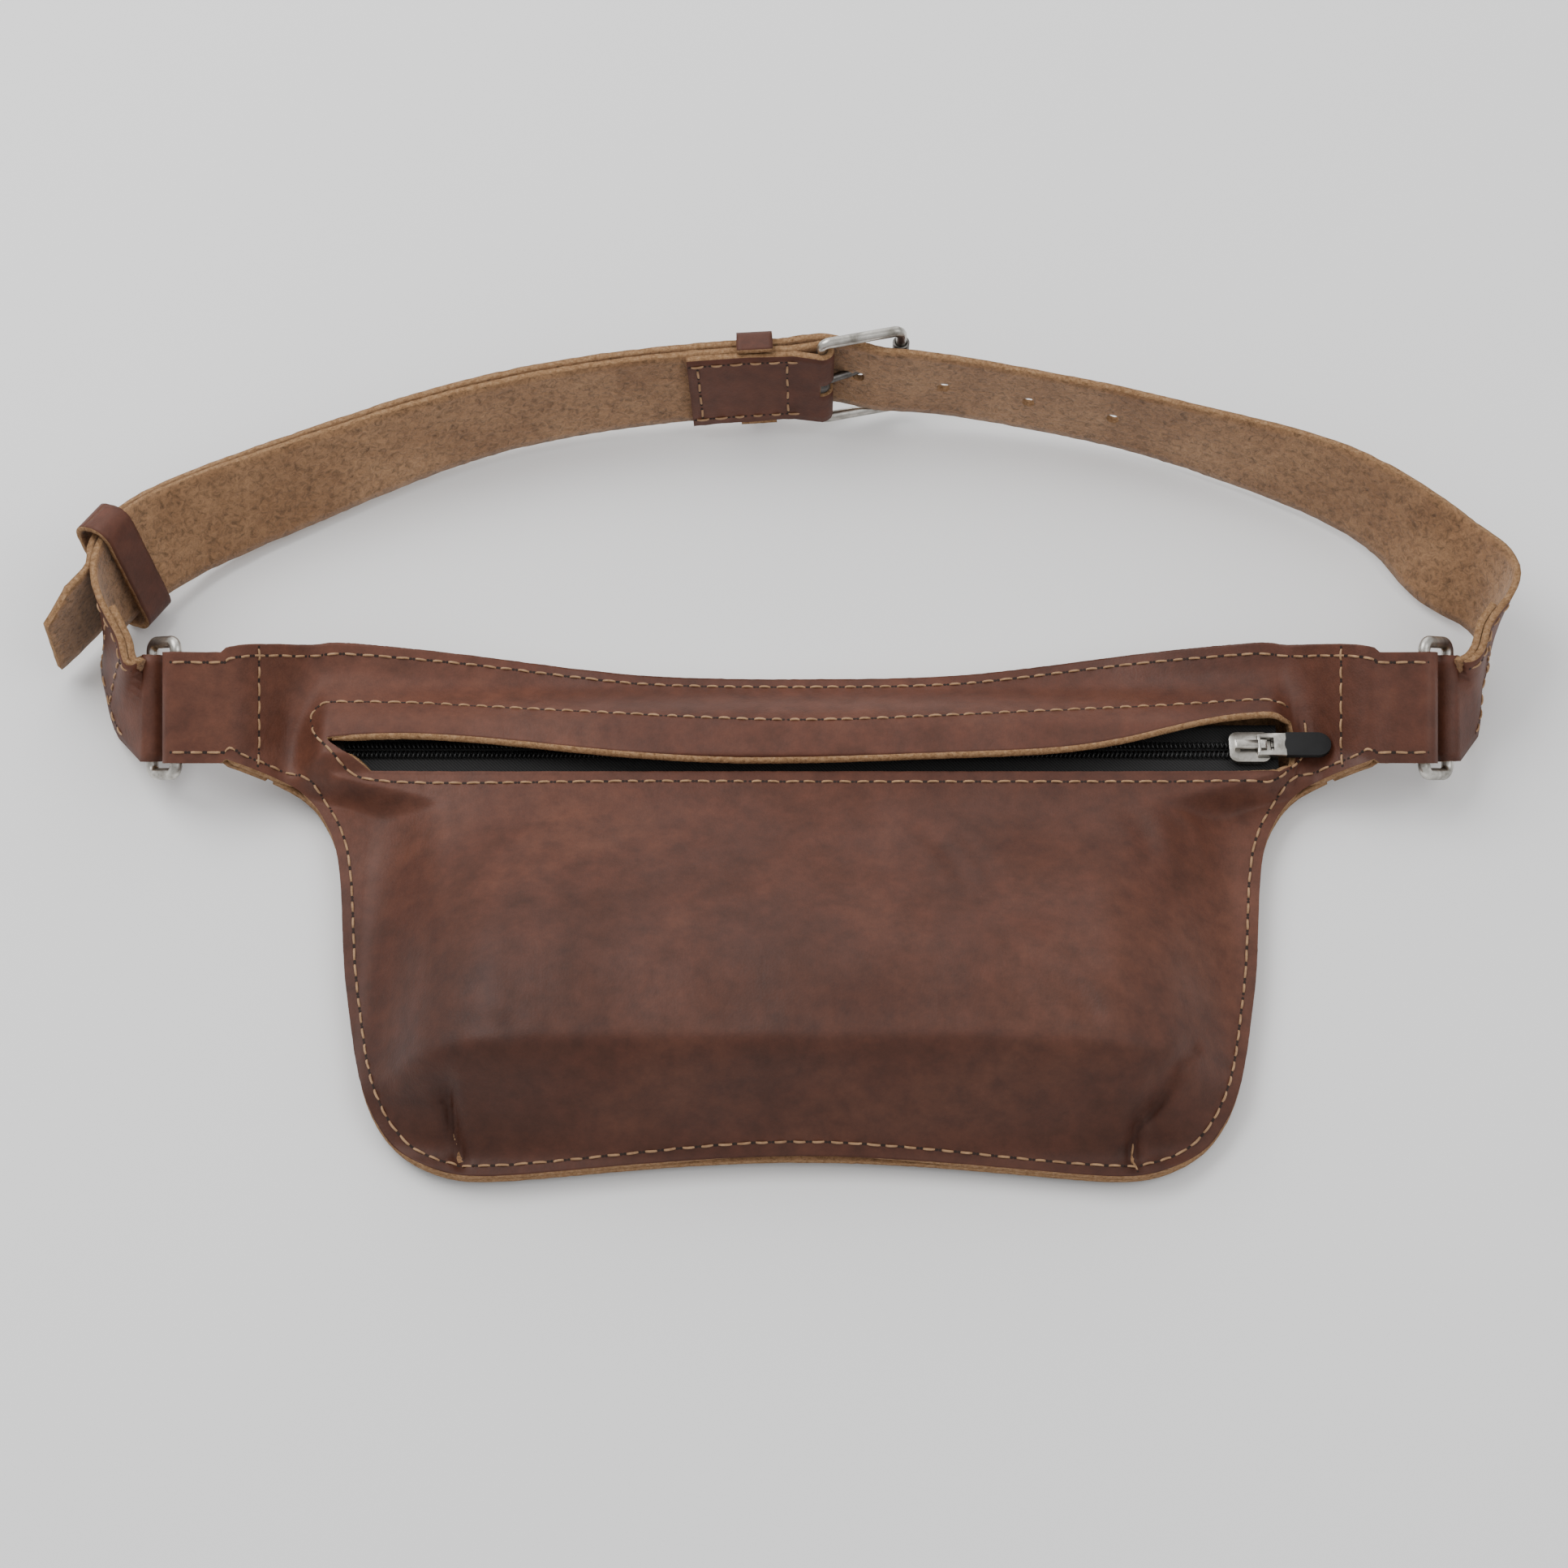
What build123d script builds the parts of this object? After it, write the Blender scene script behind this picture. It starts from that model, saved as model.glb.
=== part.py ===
from build123d import *
import math
import os

import numpy as np
from scipy.interpolate import CubicSpline

# Leather waist pack lying on its back panel, with its buckled belt standing behind it.
# Millimetres.  X runs along the pack, Y from the pack's bottom edge to the belt's back,
# Z up.  The origin is the centre of the face that the pack rests on.

os.makedirs("parts", exist_ok=True)

# ---- leather and thread ----
LEATHER = 2.0           # thickness of every leather piece
GAP = 0.04              # air between two pieces that lie on each other
THREAD = 0.6            # thread width
THREAD_RISE = 0.35      # thread height over the leather
SEAM_INSET = 3.0        # seam to leather edge

# ---- pack body ----
TOP_Y = 73.4            # top edge at the middle
BOTTOM_Y = -75.7        # bottom edge at the middle
POUCH_BASE = (238.0, 126.0, 26.0)    # length, depth and corner radius at the border
POUCH_MIDDLE = (214.0, 104.0, 22.0)
POUCH_TOP = (150.0, 44.0, 18.0)
POUCH_BASE_Y = -11.0
POUCH_MIDDLE_Y = -15.0
POUCH_TOP_Y = -40.0
POUCH_MIDDLE_Z = 20.0
POUCH_TOP_Z = 34.0
RIDGE_BASE = (290.0, 40.0, 12.0)     # raised zone along the zip
RIDGE_TOP = (270.0, 18.0, 7.0)
RIDGE_BASE_Y = 50.0
RIDGE_TOP_Y = 45.5
RIDGE_TOP_Z = 17.0

# ---- wings that hold the rings ----
CROSS_SEAM_X = 150.0    # stitched line where the folded wing ends
LOOP_X = 160.0          # the wing is straight and evenly tilted from here out
WING_TIP_X = 178.0
WING_TILT = 30.0        # degrees
WING_WIDTH = 31.0
WING_Y = 52.3           # middle of the wing at the ring
WING_Z = 23.0

# ---- rings ----
WIRE_R = 1.7
RING_INSIDE = 33.6      # inside length, along the strap's width
RING_CORNER = 2.6       # bend radius of the wire's middle
RING_REACH = 12.2       # from one long bar's centre to the other's
RING_OUT = 8.2          # sideways part of that reach
RUN_CLEARANCE = 0.08    # folds on the bars they turn on
FACET = 0.02            # what the straight facets of a fold take from its run
OPEN_CLEARANCE = 0.40   # right strap's fold, the loop's free pivot, on its ring bar

# ---- zip ----
ZIP_Y = 46.0
TAPE_Z = 9.0
TAPE_THICK = 0.6
TAPE_REACH = 8.5
COIL_HEIGHT = 1.6
COIL_WIDTH = 2.3
COIL_SPLIT = 0.7        # between the two coils
STOP_OVER = 0.8         # what a stop is higher than the tape and coil together
STOP_UNDER = 0.3        # part of a stop that lies under the tape
STOP_SPLIT = 0.3        # between the two top stops
STOP_LENGTH = 2.0
BOTTOM_STOP_LENGTH = 2.6
ZIP_START_X = -131.0
ZIP_END_X = 134.6
SLIDER_X = 126.4
SLIDER_LENGTH = 11.6
SLIDER_WIDTH = 9.6
PLATE = 0.9             # thickness of the slider's plates and flanges
POST_X = (-3.6, 3.9)    # posts of the puller's bridge, from the slider's middle
BRIDGE_WIDTH = 2.6
PULL_PLATE = (8.2, 7.0, 1.1)         # length, width and thickness
PULL_WINDOW = (5.4, 4.2)
PULL_PLATE_X = 3.6      # plate's middle from the pivot
PULL_PIN_R = 0.66
TAB_LENGTH = 13.0
TAB_WIDTH = 7.4
TAB_THICK = 1.5
PULL_X = 128.9          # pivot of the puller
PULL_Z = 13.3

# ---- belt ----
STRAP = 30.0            # width
HOLE_PITCH = 25.4
HOLE_R = 1.9
PLY = LEATHER / 2 + 0.1     # middle of each ply of a folded strap, off the fold's middle
LEAVE_ANGLE = 25.0      # a strap leaves its ring outward and this much downward
BUCKLE_X = 6.5          # heel bar
BUCKLE_REACH = 24.0     # heel bar to front bar
BUCKLE_WIRE_R = 1.6
BUCKLE_INSIDE = 32.6
BUCKLE_CORNER = 2.4
ROLLER_R = 2.5
PRONG_R = 1.3           # at its hub
PRONG_TIP_R = 1.0
PRONG_OVER = 3.0        # past the front bar's middle
PRONG_HUB_WIDTH = 4.0
PRONG_HUB_WALL = 1.1
PRONG_ROOM = 0.75       # round the prong in its strap hole
TAIL_OFFSET = 3.8       # hole strap, where it runs outside the buckle strap
KEEPER_WIDTH = 10.5
KEEPER_THICK = 1.6
KEEPER_CLEAR = 2.6      # sliding keeper, all round the two straps

TILT = math.radians(WING_TILT)
ACROSS = Vector(0, math.cos(TILT), math.sin(TILT))      # along a ring's long bars
FACE = Vector(0, -math.sin(TILT), math.cos(TILT))       # out of the wing's face
WING_BAR_X = WING_TIP_X - LEATHER - WIRE_R - RUN_CLEARANCE
RING_DOWN = math.sqrt(RING_REACH ** 2 - RING_OUT ** 2)


# ------------------------------------------------------------------ helpers

def upright(face, low, high):
    return extrude(Pos(0, 0, low) * face, high - low, dir=(0, 0, 1))


def level(size, y, z):
    """Rounded rectangle (length, depth, corner radius) lying at height z."""
    return Pos(0, y, z) * RectangleRounded(*size)


def smaller(size, amount):
    return (size[0] - 2 * amount, size[1] - 2 * amount, size[2] - amount * 0.6)


def both_sides(half):
    """Left-to-right points from the right half, whose point on X = 0 is given once."""
    ordered = sorted(half, key=lambda point: point[0])
    return [(-x, y) for x, y in ordered[:0:-1]] + ordered


def section(centre, across, face, width, thick):
    """Rectangle square to a strip's run: width lies along across, thick along face."""
    run = across.cross(face)
    plane = Plane(origin=centre, x_dir=across, z_dir=run)
    return plane * Rectangle(width, thick)


def strip(stations, width, thick, off_face=0.0, off_across=0.0):
    """Solid through (centre, across, face) stations, moved off along face and across."""
    cuts = []
    for centre, across, face in stations:
        moved = centre + face * off_face + across * off_across
        cuts.append(section(moved, across, face, width, thick))
    return loft(cuts, ruled=True)


def hull_face(plane, circle_centre, radius, tail_centre, tail_radius):
    """Teardrop: a round end pulled out to a small one."""
    big = Pos(*circle_centre) * Circle(radius)
    small = Pos(*tail_centre) * Circle(tail_radius)
    return plane * make_hull(big.edges() + small.edges())


def smooth(x):
    """0 up to x = 0 and 1 from x = 1 on, with an even turn between."""
    x = min(max(x, 0.0), 1.0)
    return x * x * (3.0 - 2.0 * x)


def save(shape, name):
    shape.label = name
    export_step(shape, "parts/" + name + ".step")


# ------------------------------------------------------------------ pack outline

TOP_EDGE = [(0, TOP_Y), (50, 75.1), (96, 79.3), (126, 78.0)]
SIDE_EDGE = [(129.5, 18.0), (124.7, -20.8), (122.2, -36.0), (117.6, -56.5), (108.0, -73.0),
             (96, -79.7), (86, -81.3), (70, -80.4), (40, -77.4), (0, BOTTOM_Y)]
ROOT_LOW = (132.0, 27.0)     # where the right wing's lower edge meets the body


def body_outline():
    """Flat outline of the pack without its wings."""
    top = Spline(*both_sides(TOP_EDGE))
    low = Spline(*both_sides(SIDE_EDGE))
    right = Polyline(top @ 1, ROOT_LOW, low @ 1)
    left = Polyline(top @ 0, (-ROOT_LOW[0], ROOT_LOW[1]), low @ 0)
    return make_face(Wire([top, *right.edges(), low, *left.edges()]))


def slot_outline():
    """Opening over the zip, its upper lip drawn back so that the puller can pass and swing."""
    lip = Spline((-132.0, 46.0), (-121.0, 50.6), (-60.0, 50.6), (0.0, 50.6), (60.0, 50.6),
                 (113.0, 52.0), (140.0, 54.0))
    low = Polyline((140.0, 54.0), (140.0, 41.0), (134.0, 37.3), (-120.0, 37.3), (-132.0, 46.0))
    return make_face(Wire([lip, *low.edges()]))


# ------------------------------------------------------------------ wings

def wing_stations(side, first=0, last=5):
    """Middle surface of the doubled wing, from the body to the ring fold."""
    marks = [(124.0, 52.0, 2.0, 0.0, 50.0), (133.0, 54.5, 5.0, 7.0, 44.0),
             (142.0, 55.5, 8.5, 16.0, 41.0), (CROSS_SEAM_X, 54.0, 14.0, 26.0, 35.0),
             (LOOP_X, WING_Y, WING_Z, WING_TILT, WING_WIDTH)]
    stations = []
    for x, y, z, tilt, width in marks[first:last]:
        turn = math.radians(tilt)
        across = Vector(0, math.cos(turn), math.sin(turn))
        face = Vector(0, -math.sin(turn), math.cos(turn))
        stations.append((Vector(side * x, y, z), across, face, width))
    return stations


def wing_ply(side, off_face, first=0, last=5, thick=LEATHER - GAP / 2):
    cuts = []
    for centre, across, face, width in wing_stations(side, first, last):
        cuts.append(Plane(origin=centre + face * off_face, x_dir=across, z_dir=(1, 0, 0))
                    * Rectangle(width, thick))
    return loft(cuts, ruled=True)


def wing_plane(side):
    """Plane square to the ring's bars at the wing's lower edge; x out, y out of the face."""
    start = Vector(0, WING_Y, WING_Z) - ACROSS * (WING_WIDTH / 2)
    x_dir = Vector(side, 0, 0)
    return Plane(origin=start, x_dir=x_dir, z_dir=x_dir.cross(FACE))


def wing_fold(side):
    """Leather turned round the ring's bar, both plies, with the bar's run in it."""
    inner = WIRE_R + RUN_CLEARANCE
    outer = inner + LEATHER
    plane = wing_plane(side)
    plies = plane * Pos((LOOP_X + WING_BAR_X - 6) / 2, 0) * Rectangle(
        WING_BAR_X - 6 - LOOP_X, 2 * LEATHER)
    skin = hull_face(plane, (WING_BAR_X, 0), outer, (WING_BAR_X - 9, 0), LEATHER)
    hollow = hull_face(plane, (WING_BAR_X, 0), inner, (WING_BAR_X - 8, 0), 0.06)
    body = extrude(plies, WING_WIDTH, dir=ACROSS) + extrude(skin, WING_WIDTH, dir=ACROSS)
    return body - extrude(hollow, WING_WIDTH, dir=ACROSS)


# ------------------------------------------------------------------ leather body

UNDER_WING = 8.0        # room under the wing's middle surface that the front panel leaves free


def pouch(inset):
    """Bulged volume of the pouch and of the ridge along the zip."""
    dome = loft([level(smaller(POUCH_BASE, inset), POUCH_BASE_Y, 2.5),
                 level(smaller(POUCH_MIDDLE, inset), POUCH_MIDDLE_Y, POUCH_MIDDLE_Z - inset),
                 level(smaller(POUCH_TOP, inset), POUCH_TOP_Y, POUCH_TOP_Z - inset)])
    ridge = loft([level(smaller(RIDGE_BASE, inset), RIDGE_BASE_Y, 2.5),
                  level(smaller(RIDGE_TOP, 0.6 * inset), RIDGE_TOP_Y, RIDGE_TOP_Z - inset)],
                 ruled=True)
    return dome + ridge


def front_panel():
    border = upright(body_outline(), LEATHER + GAP, 2 * LEATHER)
    shell = border + pouch(0) - pouch(LEATHER)
    shell -= upright(Rectangle(400, 300), -1, LEATHER + GAP)
    shell -= upright(slot_outline(), LEATHER, 40)
    for side in (1, -1):
        shell -= wing_ply(side, -UNDER_WING / 2, 0, 4, UNDER_WING)
        shell += wing_ply(side, LEATHER / 2 + GAP / 4)
        shell += wing_ply(side, -LEATHER / 2 - GAP / 4, 3, 5)
        shell += wing_fold(side)
    return max(shell.solids(), key=lambda solid: solid.volume)


def back_panel():
    sheet = upright(body_outline(), 0, LEATHER)
    for side in (1, -1):
        ply = wing_ply(side, -LEATHER / 2 - GAP / 4, 0, 4)
        sheet += ply & Box(2 * CROSS_SEAM_X - 0.4, 300, 200)
    return sheet


# ------------------------------------------------------------------ rings

def ring_frame(side):
    """Plane of a ring: x from the wing bar to the strap bar, y along the bars."""
    bar = Vector(side * WING_BAR_X, WING_Y, WING_Z)
    reach = Vector(side * RING_OUT, 0, 0) - FACE * RING_DOWN
    return Plane(origin=bar, x_dir=reach, z_dir=reach.cross(ACROSS))


def wire_loop(plane, reach, inside, wire_r, corner):
    """Closed round-wire rectangle; x from bar to bar, y along the bars."""
    across = inside + 2 * wire_r
    path = (Pos(reach / 2, 0) * RectangleRounded(reach, across, corner)).wire()
    start = Plane(origin=path @ 0, z_dir=path % 0) * Circle(wire_r)
    return plane * sweep(start, path=path)


def ring(side):
    return wire_loop(ring_frame(side), RING_REACH, RING_INSIDE, WIRE_R, RING_CORNER)


def strap_bar(side):
    return (Vector(side * (WING_BAR_X + RING_OUT), WING_Y, WING_Z) - FACE * RING_DOWN)


# ------------------------------------------------------------------ zip

def zip_tapes():
    length = ZIP_END_X - ZIP_START_X
    middle = (ZIP_END_X + ZIP_START_X) / 2
    for name, way in (("zip_tape_upper", 1), ("zip_tape_lower", -1)):
        inner = COIL_SPLIT / 2
        tape = Pos(middle, ZIP_Y + way * (inner + TAPE_REACH / 2), TAPE_Z + TAPE_THICK / 2)
        save(tape * Box(length, TAPE_REACH, TAPE_THICK), name)


def zip_coils():
    """One nylon coil per tape, as its outer envelope."""
    length = ZIP_END_X - ZIP_START_X - 6
    middle = (ZIP_END_X + ZIP_START_X) / 2
    base = TAPE_Z + TAPE_THICK + GAP
    for name, way in (("zip_coil_upper", 1), ("zip_coil_lower", -1)):
        y = ZIP_Y + way * (COIL_SPLIT + COIL_WIDTH) / 2
        profile = Plane.YZ * Pos(y, base + COIL_HEIGHT / 2) * RectangleRounded(
            COIL_WIDTH, COIL_HEIGHT, 0.6)
        save(Pos(middle - length / 2, 0, 0) * extrude(profile, length), name)


def tape_room(way):
    """Room that a crimped stop leaves for the tape on one side of the zip."""
    inner = COIL_SPLIT / 2 - GAP
    middle = Pos(0, ZIP_Y + way * (inner + TAPE_REACH), TAPE_Z + TAPE_THICK / 2)
    return middle * Box(400, 2 * TAPE_REACH, TAPE_THICK + 2 * GAP)


def zip_stops():
    """Crimped metal stops at both ends of the coils."""
    height = COIL_HEIGHT + TAPE_THICK + STOP_OVER
    z = TAPE_Z - STOP_UNDER + height / 2
    wrap = COIL_WIDTH + 0.2
    tops = []
    for way in (1, -1):
        y = ZIP_Y + way * (STOP_SPLIT + wrap) / 2
        stop = Pos(ZIP_END_X - 1.2, y, z) * Box(STOP_LENGTH, wrap, height)
        tops.append(stop - tape_room(way))
    save(tops[0] + tops[1], "zip_top_stops")
    width = 2 * COIL_WIDTH + COIL_SPLIT
    bottom = Pos(ZIP_START_X + 1.5, ZIP_Y, z) * Box(BOTTOM_STOP_LENGTH, width, height)
    save(bottom - tape_room(1) - tape_room(-1), "zip_bottom_stop")


def slider():
    """Two plates on a thin web, with flanges round the coils and a bridge for the puller."""
    low_z = TAPE_Z - 0.15
    coil_top = TAPE_Z + TAPE_THICK + GAP + COIL_HEIGHT
    top_z = coil_top + 0.12
    shape = RectangleRounded(SLIDER_LENGTH, SLIDER_WIDTH, 2.4)
    low = upright(Pos(SLIDER_X, ZIP_Y) * shape, low_z - PLATE, low_z)
    top = upright(Pos(SLIDER_X, ZIP_Y) * shape, top_z, top_z + PLATE)
    web = Pos(SLIDER_X + 2, ZIP_Y, (low_z + top_z) / 2) * Box(4.0, 0.4, top_z - low_z + 0.2)
    body = low + top + web
    for way in (1, -1):
        flange = Pos(SLIDER_X, ZIP_Y + way * (SLIDER_WIDTH - PLATE) / 2, top_z - 0.35)
        body += flange * Box(SLIDER_LENGTH - 5, PLATE, PLATE)
    return body + pull_bridge(top_z + PLATE) - at_pivot(pin(PULL_PIN_R + 0.06, 6))


def pull_bridge(z):
    """Two posts and the arch over the puller's bar; z is the top plate's upper face."""
    middle = SLIDER_X + sum(POST_X) / 2
    bridge = Pos(middle, ZIP_Y, z + 1.35) * Box(8.0, BRIDGE_WIDTH, 0.7)
    for x in POST_X:
        bridge += Pos(SLIDER_X + x, ZIP_Y, z + 0.8) * Box(1.5, BRIDGE_WIDTH, 1.7)
    return bridge


def pin(radius, length):
    """Round bar along Y."""
    return Rot(90, 0, 0) * Cylinder(radius, length)


def at_pivot(shape):
    return Pos(PULL_X, ZIP_Y, PULL_Z) * shape


def pull_plate():
    """Metal frame whose bar lies under the slider's bridge."""
    length, width, thick = PULL_PLATE
    plate = Pos(PULL_PLATE_X, 0, 0) * Box(length, width, thick)
    window = Pos(1.4, 0, 0) * Box(*PULL_WINDOW, 2 * thick)
    return at_pivot(plate - window + pin(PULL_PIN_R, width - 1.6))


def pull_tab():
    """Rubber tab moulded on the plate's end."""
    tab = upright(Pos(13.6, 0) * SlotOverall(TAB_LENGTH, TAB_WIDTH), -TAB_THICK / 2,
                  TAB_THICK / 2)
    tab += Pos(10.0, 0, 0) * Box(5.0, TAB_WIDTH, TAB_THICK)
    hole = Pos(PULL_PLATE_X, 0, 0) * Box(*[size + 2 * GAP for size in PULL_PLATE])
    return at_pivot(tab - hole)


# ------------------------------------------------------------------ belt path

# x, y, z of the strap's middle, then x and y of the line across it
RIGHT_END = [(189.6, 63.0, 13.2, -0.05, 0.42), (193.5, 75.0, 14.0, 0.00, 0.28),
             (197.8, 85.5, 14.8, 0.12, 0.16), (198.4, 95.0, 14.4, 0.30, 0.12)]
LEFT_END = [(-190.0, 62.0, 13.4, 0.10, 0.38), (-193.4, 71.0, 15.0, 0.20, 0.22),
            (-196.0, 80.5, 17.4, 0.10, 0.16), (-196.6, 91.5, 18.6, -0.10, 0.14)]
# x, y of the strap's middle, its outward lean in degrees, and how far its edge is off the table
RIGHT_RUN = [(188.4, 106.5, 32, 0), (177.0, 118.0, 22, 0), (153.0, 135.0, 11, 0),
             (125.0, 146.2, 2, 0), (96.0, 155.6, -3, 0.6), (66.0, 162.2, -4, 2.0),
             (36.0, 166.8, -3, 3.6)]
LEFT_RUN = [(-187.0, 109.5, 29, 3.6), (-175.0, 119.0, 27, 1.6), (-150.0, 132.0, 20, 0),
            (-121.0, 145.0, 12, 0), (-92.0, 155.5, 6, 0.8), (-62.0, 162.2, 4, 1.8),
            (-30.0, 165.8, 3, 3.4)]
BACK = (4.0, 167.4, 1, 4.4)


def run_stations(points):
    """Stations from (x, y, lean, lift), listed left to right."""
    out = []
    for i, (x, y, lean, lift) in enumerate(points):
        a = points[max(i - 1, 0)]
        b = points[min(i + 1, len(points) - 1)]
        length = math.hypot(b[0] - a[0], b[1] - a[1])
        outward = Vector(-(b[1] - a[1]) / length, (b[0] - a[0]) / length, 0)
        turn = math.radians(lean)
        rule = outward * math.sin(turn) + Vector(0, 0, math.cos(turn))
        out.append((Vector(x, y, STRAP / 2 * math.cos(turn) + lift), rule))
    return out


def ring_end_stations(side, points):
    out = [(strap_bar(side), ACROSS)]
    for x, y, z, rule_x, rule_y in points:
        rule_z = math.sqrt(1 - rule_x ** 2 - rule_y ** 2)
        out.append((Vector(x, y, z), Vector(rule_x, rule_y, rule_z)))
    return out


def leaving(side):
    """Direction in which a strap leaves its ring, square to the ring's bars."""
    turn = math.radians(LEAVE_ANGLE)
    return Vector(side * math.cos(turn), 0, 0) - FACE * math.sin(turn)


class BeltLine:
    """Middle line of the belt from the left ring round the back to the right ring."""

    def __init__(self):
        back = run_stations(LEFT_RUN + [BACK] + RIGHT_RUN[::-1])
        left = ring_end_stations(-1, LEFT_END)
        right = ring_end_stations(1, RIGHT_END)
        stations = left + back + right[::-1]
        points = np.array([tuple(p) for p, _ in stations])
        rules = np.array([tuple(r) for _, r in stations])
        steps = np.linalg.norm(np.diff(points, axis=0), axis=1)
        knots = np.concatenate([[0.0], np.cumsum(steps)])
        self.length = float(knots[-1])
        ends = ((1, tuple(leaving(-1))), (1, tuple(leaving(1) * -1)))
        self.curve = CubicSpline(knots, points, bc_type=ends)
        self.rule = CubicSpline(knots, rules)

    def at(self, s):
        """Centre, unit vector across the strap and unit vector out of its outer face."""
        centre = Vector(*self.curve(s))
        run = Vector(*self.curve(s, 1)).normalized()
        across = Vector(*self.rule(s))
        across = (across - run * across.dot(run)).normalized()
        return centre, across, across.cross(run)

    def run(self, s):
        return Vector(*self.curve(s, 1)).normalized()

    def find_x(self, x):
        """Distance along the belt's back at which it passes x."""
        low, high = self.length * 0.25, self.length * 0.75
        for _ in range(40):
            middle = (low + high) / 2
            if self.curve(middle)[0] < x:
                low = middle
            else:
                high = middle
        return (low + high) / 2


BELT = BeltLine()


def along(start, end, step=4.5):
    count = max(2, int(abs(end - start) / step) + 1)
    return [float(s) for s in np.linspace(start, end, count)]


def off_line(s, offset):
    centre, across, face = BELT.at(s)
    return centre + face * offset, across, face


def fold_round(bar, toward, across, outer, radius):
    """Half turn of a strap round a bar, from the outer ply to the inner ply."""
    out = []
    for step in range(15):
        turn = math.radians(62 + step * (298 - 62) / 14)
        radial = toward * math.cos(turn) + outer * math.sin(turn)
        out.append((bar + radial * radius, across, radial))
    return out


def ply_stations(marks, offset):
    """Stations of one ply; the inner ply shows its face to the inside of the belt."""
    out = []
    for s in marks:
        centre, across, face = BELT.at(s)
        out.append((centre + face * offset, across, face if offset > 0 else face * -1))
    return out


# ------------------------------------------------------------------ belt straps

RING_DOUBLED = 31.0     # doubled length at a ring
BUCKLE_DOUBLED = 39.0   # doubled length at the buckle
FOLD_CLEAR = 8.0        # from the bar's centre to where the plies meet
LEFT_FOLD_R = WIRE_R + RUN_CLEARANCE + FACET + LEATHER / 2
RIGHT_FOLD_R = WIRE_R + OPEN_CLEARANCE + FACET + LEATHER / 2
HEEL_FOLD_R = BUCKLE_WIRE_R + RUN_CLEARANCE + FACET + LEATHER / 2
HEEL_S = BELT.find_x(BUCKLE_X)
FRONT_S = HEEL_S + BUCKLE_REACH
KEEPER_S = 52.0         # sliding keeper
FIXED_KEEPER_S = HEEL_S - 19.0
TAIL_LEAVES_S = 48.0    # the free end goes its own way from here
TAIL_TURNS = ((8.0, 3.0), (17.0, 7.0), (27.0, 10.0))     # distance and turn in degrees
TAIL_Z = 17.6
HOLE_S = HEEL_S + 11.0
LEFT_MARKS = along(FOLD_CLEAR, HEEL_S - FOLD_CLEAR)
RIGHT_MARKS = along(BELT.length - FOLD_CLEAR, FRONT_S + 6.0)
HEEL_MARKS = along(HEEL_S - FOLD_CLEAR, HEEL_S - BUCKLE_DOUBLED)
FRONT_OFFSET = PLY + LEATHER / 2 + ROLLER_R + 1.1


def ring_fold(s, way, radius):
    """Fold of a strap round its ring's bar, from the inner ply to the outer ply."""
    bar, across, outer = BELT.at(s)
    return fold_round(bar, BELT.run(s) * way, across, outer, radius)[::-1]


def buckle_strap():
    """Strap from the left ring to the buckle's heel bar, folded back at both ends."""
    path = ply_stations(along(RING_DOUBLED, FOLD_CLEAR), -PLY)
    path += ring_fold(0.0, 1, LEFT_FOLD_R)
    path += ply_stations(LEFT_MARKS, PLY)
    bar, across, outer = BELT.at(HEEL_S)
    path += fold_round(bar, BELT.run(HEEL_S) * -1, across, outer, HEEL_FOLD_R)
    path += ply_stations(HEEL_MARKS, -PLY)
    strap = strip(path, STRAP, LEATHER)
    return strap - prong_slot()


def prong_slot():
    """Oblong hole through the buckle fold for the prong."""
    bar, across, outer = BELT.at(HEEL_S)
    run = BELT.run(HEEL_S)
    plane = Plane(origin=bar, x_dir=run, z_dir=outer)
    return plane * Pos(-0.5, 0, 0) * Box(11.0, 5.4, 12.0)


def hole_strap_offset(s):
    """The hole strap passes under the roller, over the heel bar and down outside."""
    rise_end = FRONT_S - 4.0
    up = 1 - smooth((s - HEEL_S) / (rise_end - HEEL_S))
    over = smooth((s - HEEL_S + 13.0) / 12.0)
    outside = TAIL_OFFSET + over * 1.5
    return PLY + (outside - PLY) * up


def tail_stations():
    """Free end, straight on from the sliding keeper."""
    start, across, face = off_line(TAIL_LEAVES_S, TAIL_OFFSET)
    way = BELT.run(TAIL_LEAVES_S) * -1
    out = []
    for distance, turn in TAIL_TURNS:
        heading = way.rotate(Axis.Z, -turn)
        centre = start + heading * distance
        centre = Vector(centre.X, centre.Y, TAIL_Z)
        flat = Vector(heading.X, heading.Y, 0).normalized()
        out.append((centre, Vector(0, 0, 1), Vector(0, 0, 1).cross(flat * -1)))
    return out


def hole_strap():
    """Strap from the right ring through the buckle to the free tail."""
    end = BELT.length
    path = ply_stations(along(end - RING_DOUBLED, end - FOLD_CLEAR), -PLY)
    path += ring_fold(end, -1, RIGHT_FOLD_R)
    for s in RIGHT_MARKS:
        path.append(off_line(s, PLY))
    for s in along(FRONT_S + 4.0, HEEL_S - 18.0, 2.8):
        path.append(off_line(s, hole_strap_offset(s)))
    for s in along(HEEL_S - 20.0, TAIL_LEAVES_S):
        path.append(off_line(s, TAIL_OFFSET))
    path += tail_stations()
    strap = strip(path, STRAP, LEATHER)
    strap -= prong_body(PRONG_ROOM)
    for number in (1, 2, 3):
        centre, across, face = off_line(HOLE_S + number * HOLE_PITCH, PLY)
        strap -= Plane(origin=centre, z_dir=face) * Cylinder(HOLE_R, 6)
    return strap - tail_corner()


def tail_corner():
    """Corner clipped off the free end."""
    centre, across, face = tail_stations()[-1]
    corner = Plane(origin=centre + across * (STRAP / 2), x_dir=across, z_dir=face)
    return corner * Rot(0, 0, 35) * Box(13.0, 18.0, 8.0)


# ------------------------------------------------------------------ buckle

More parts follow.
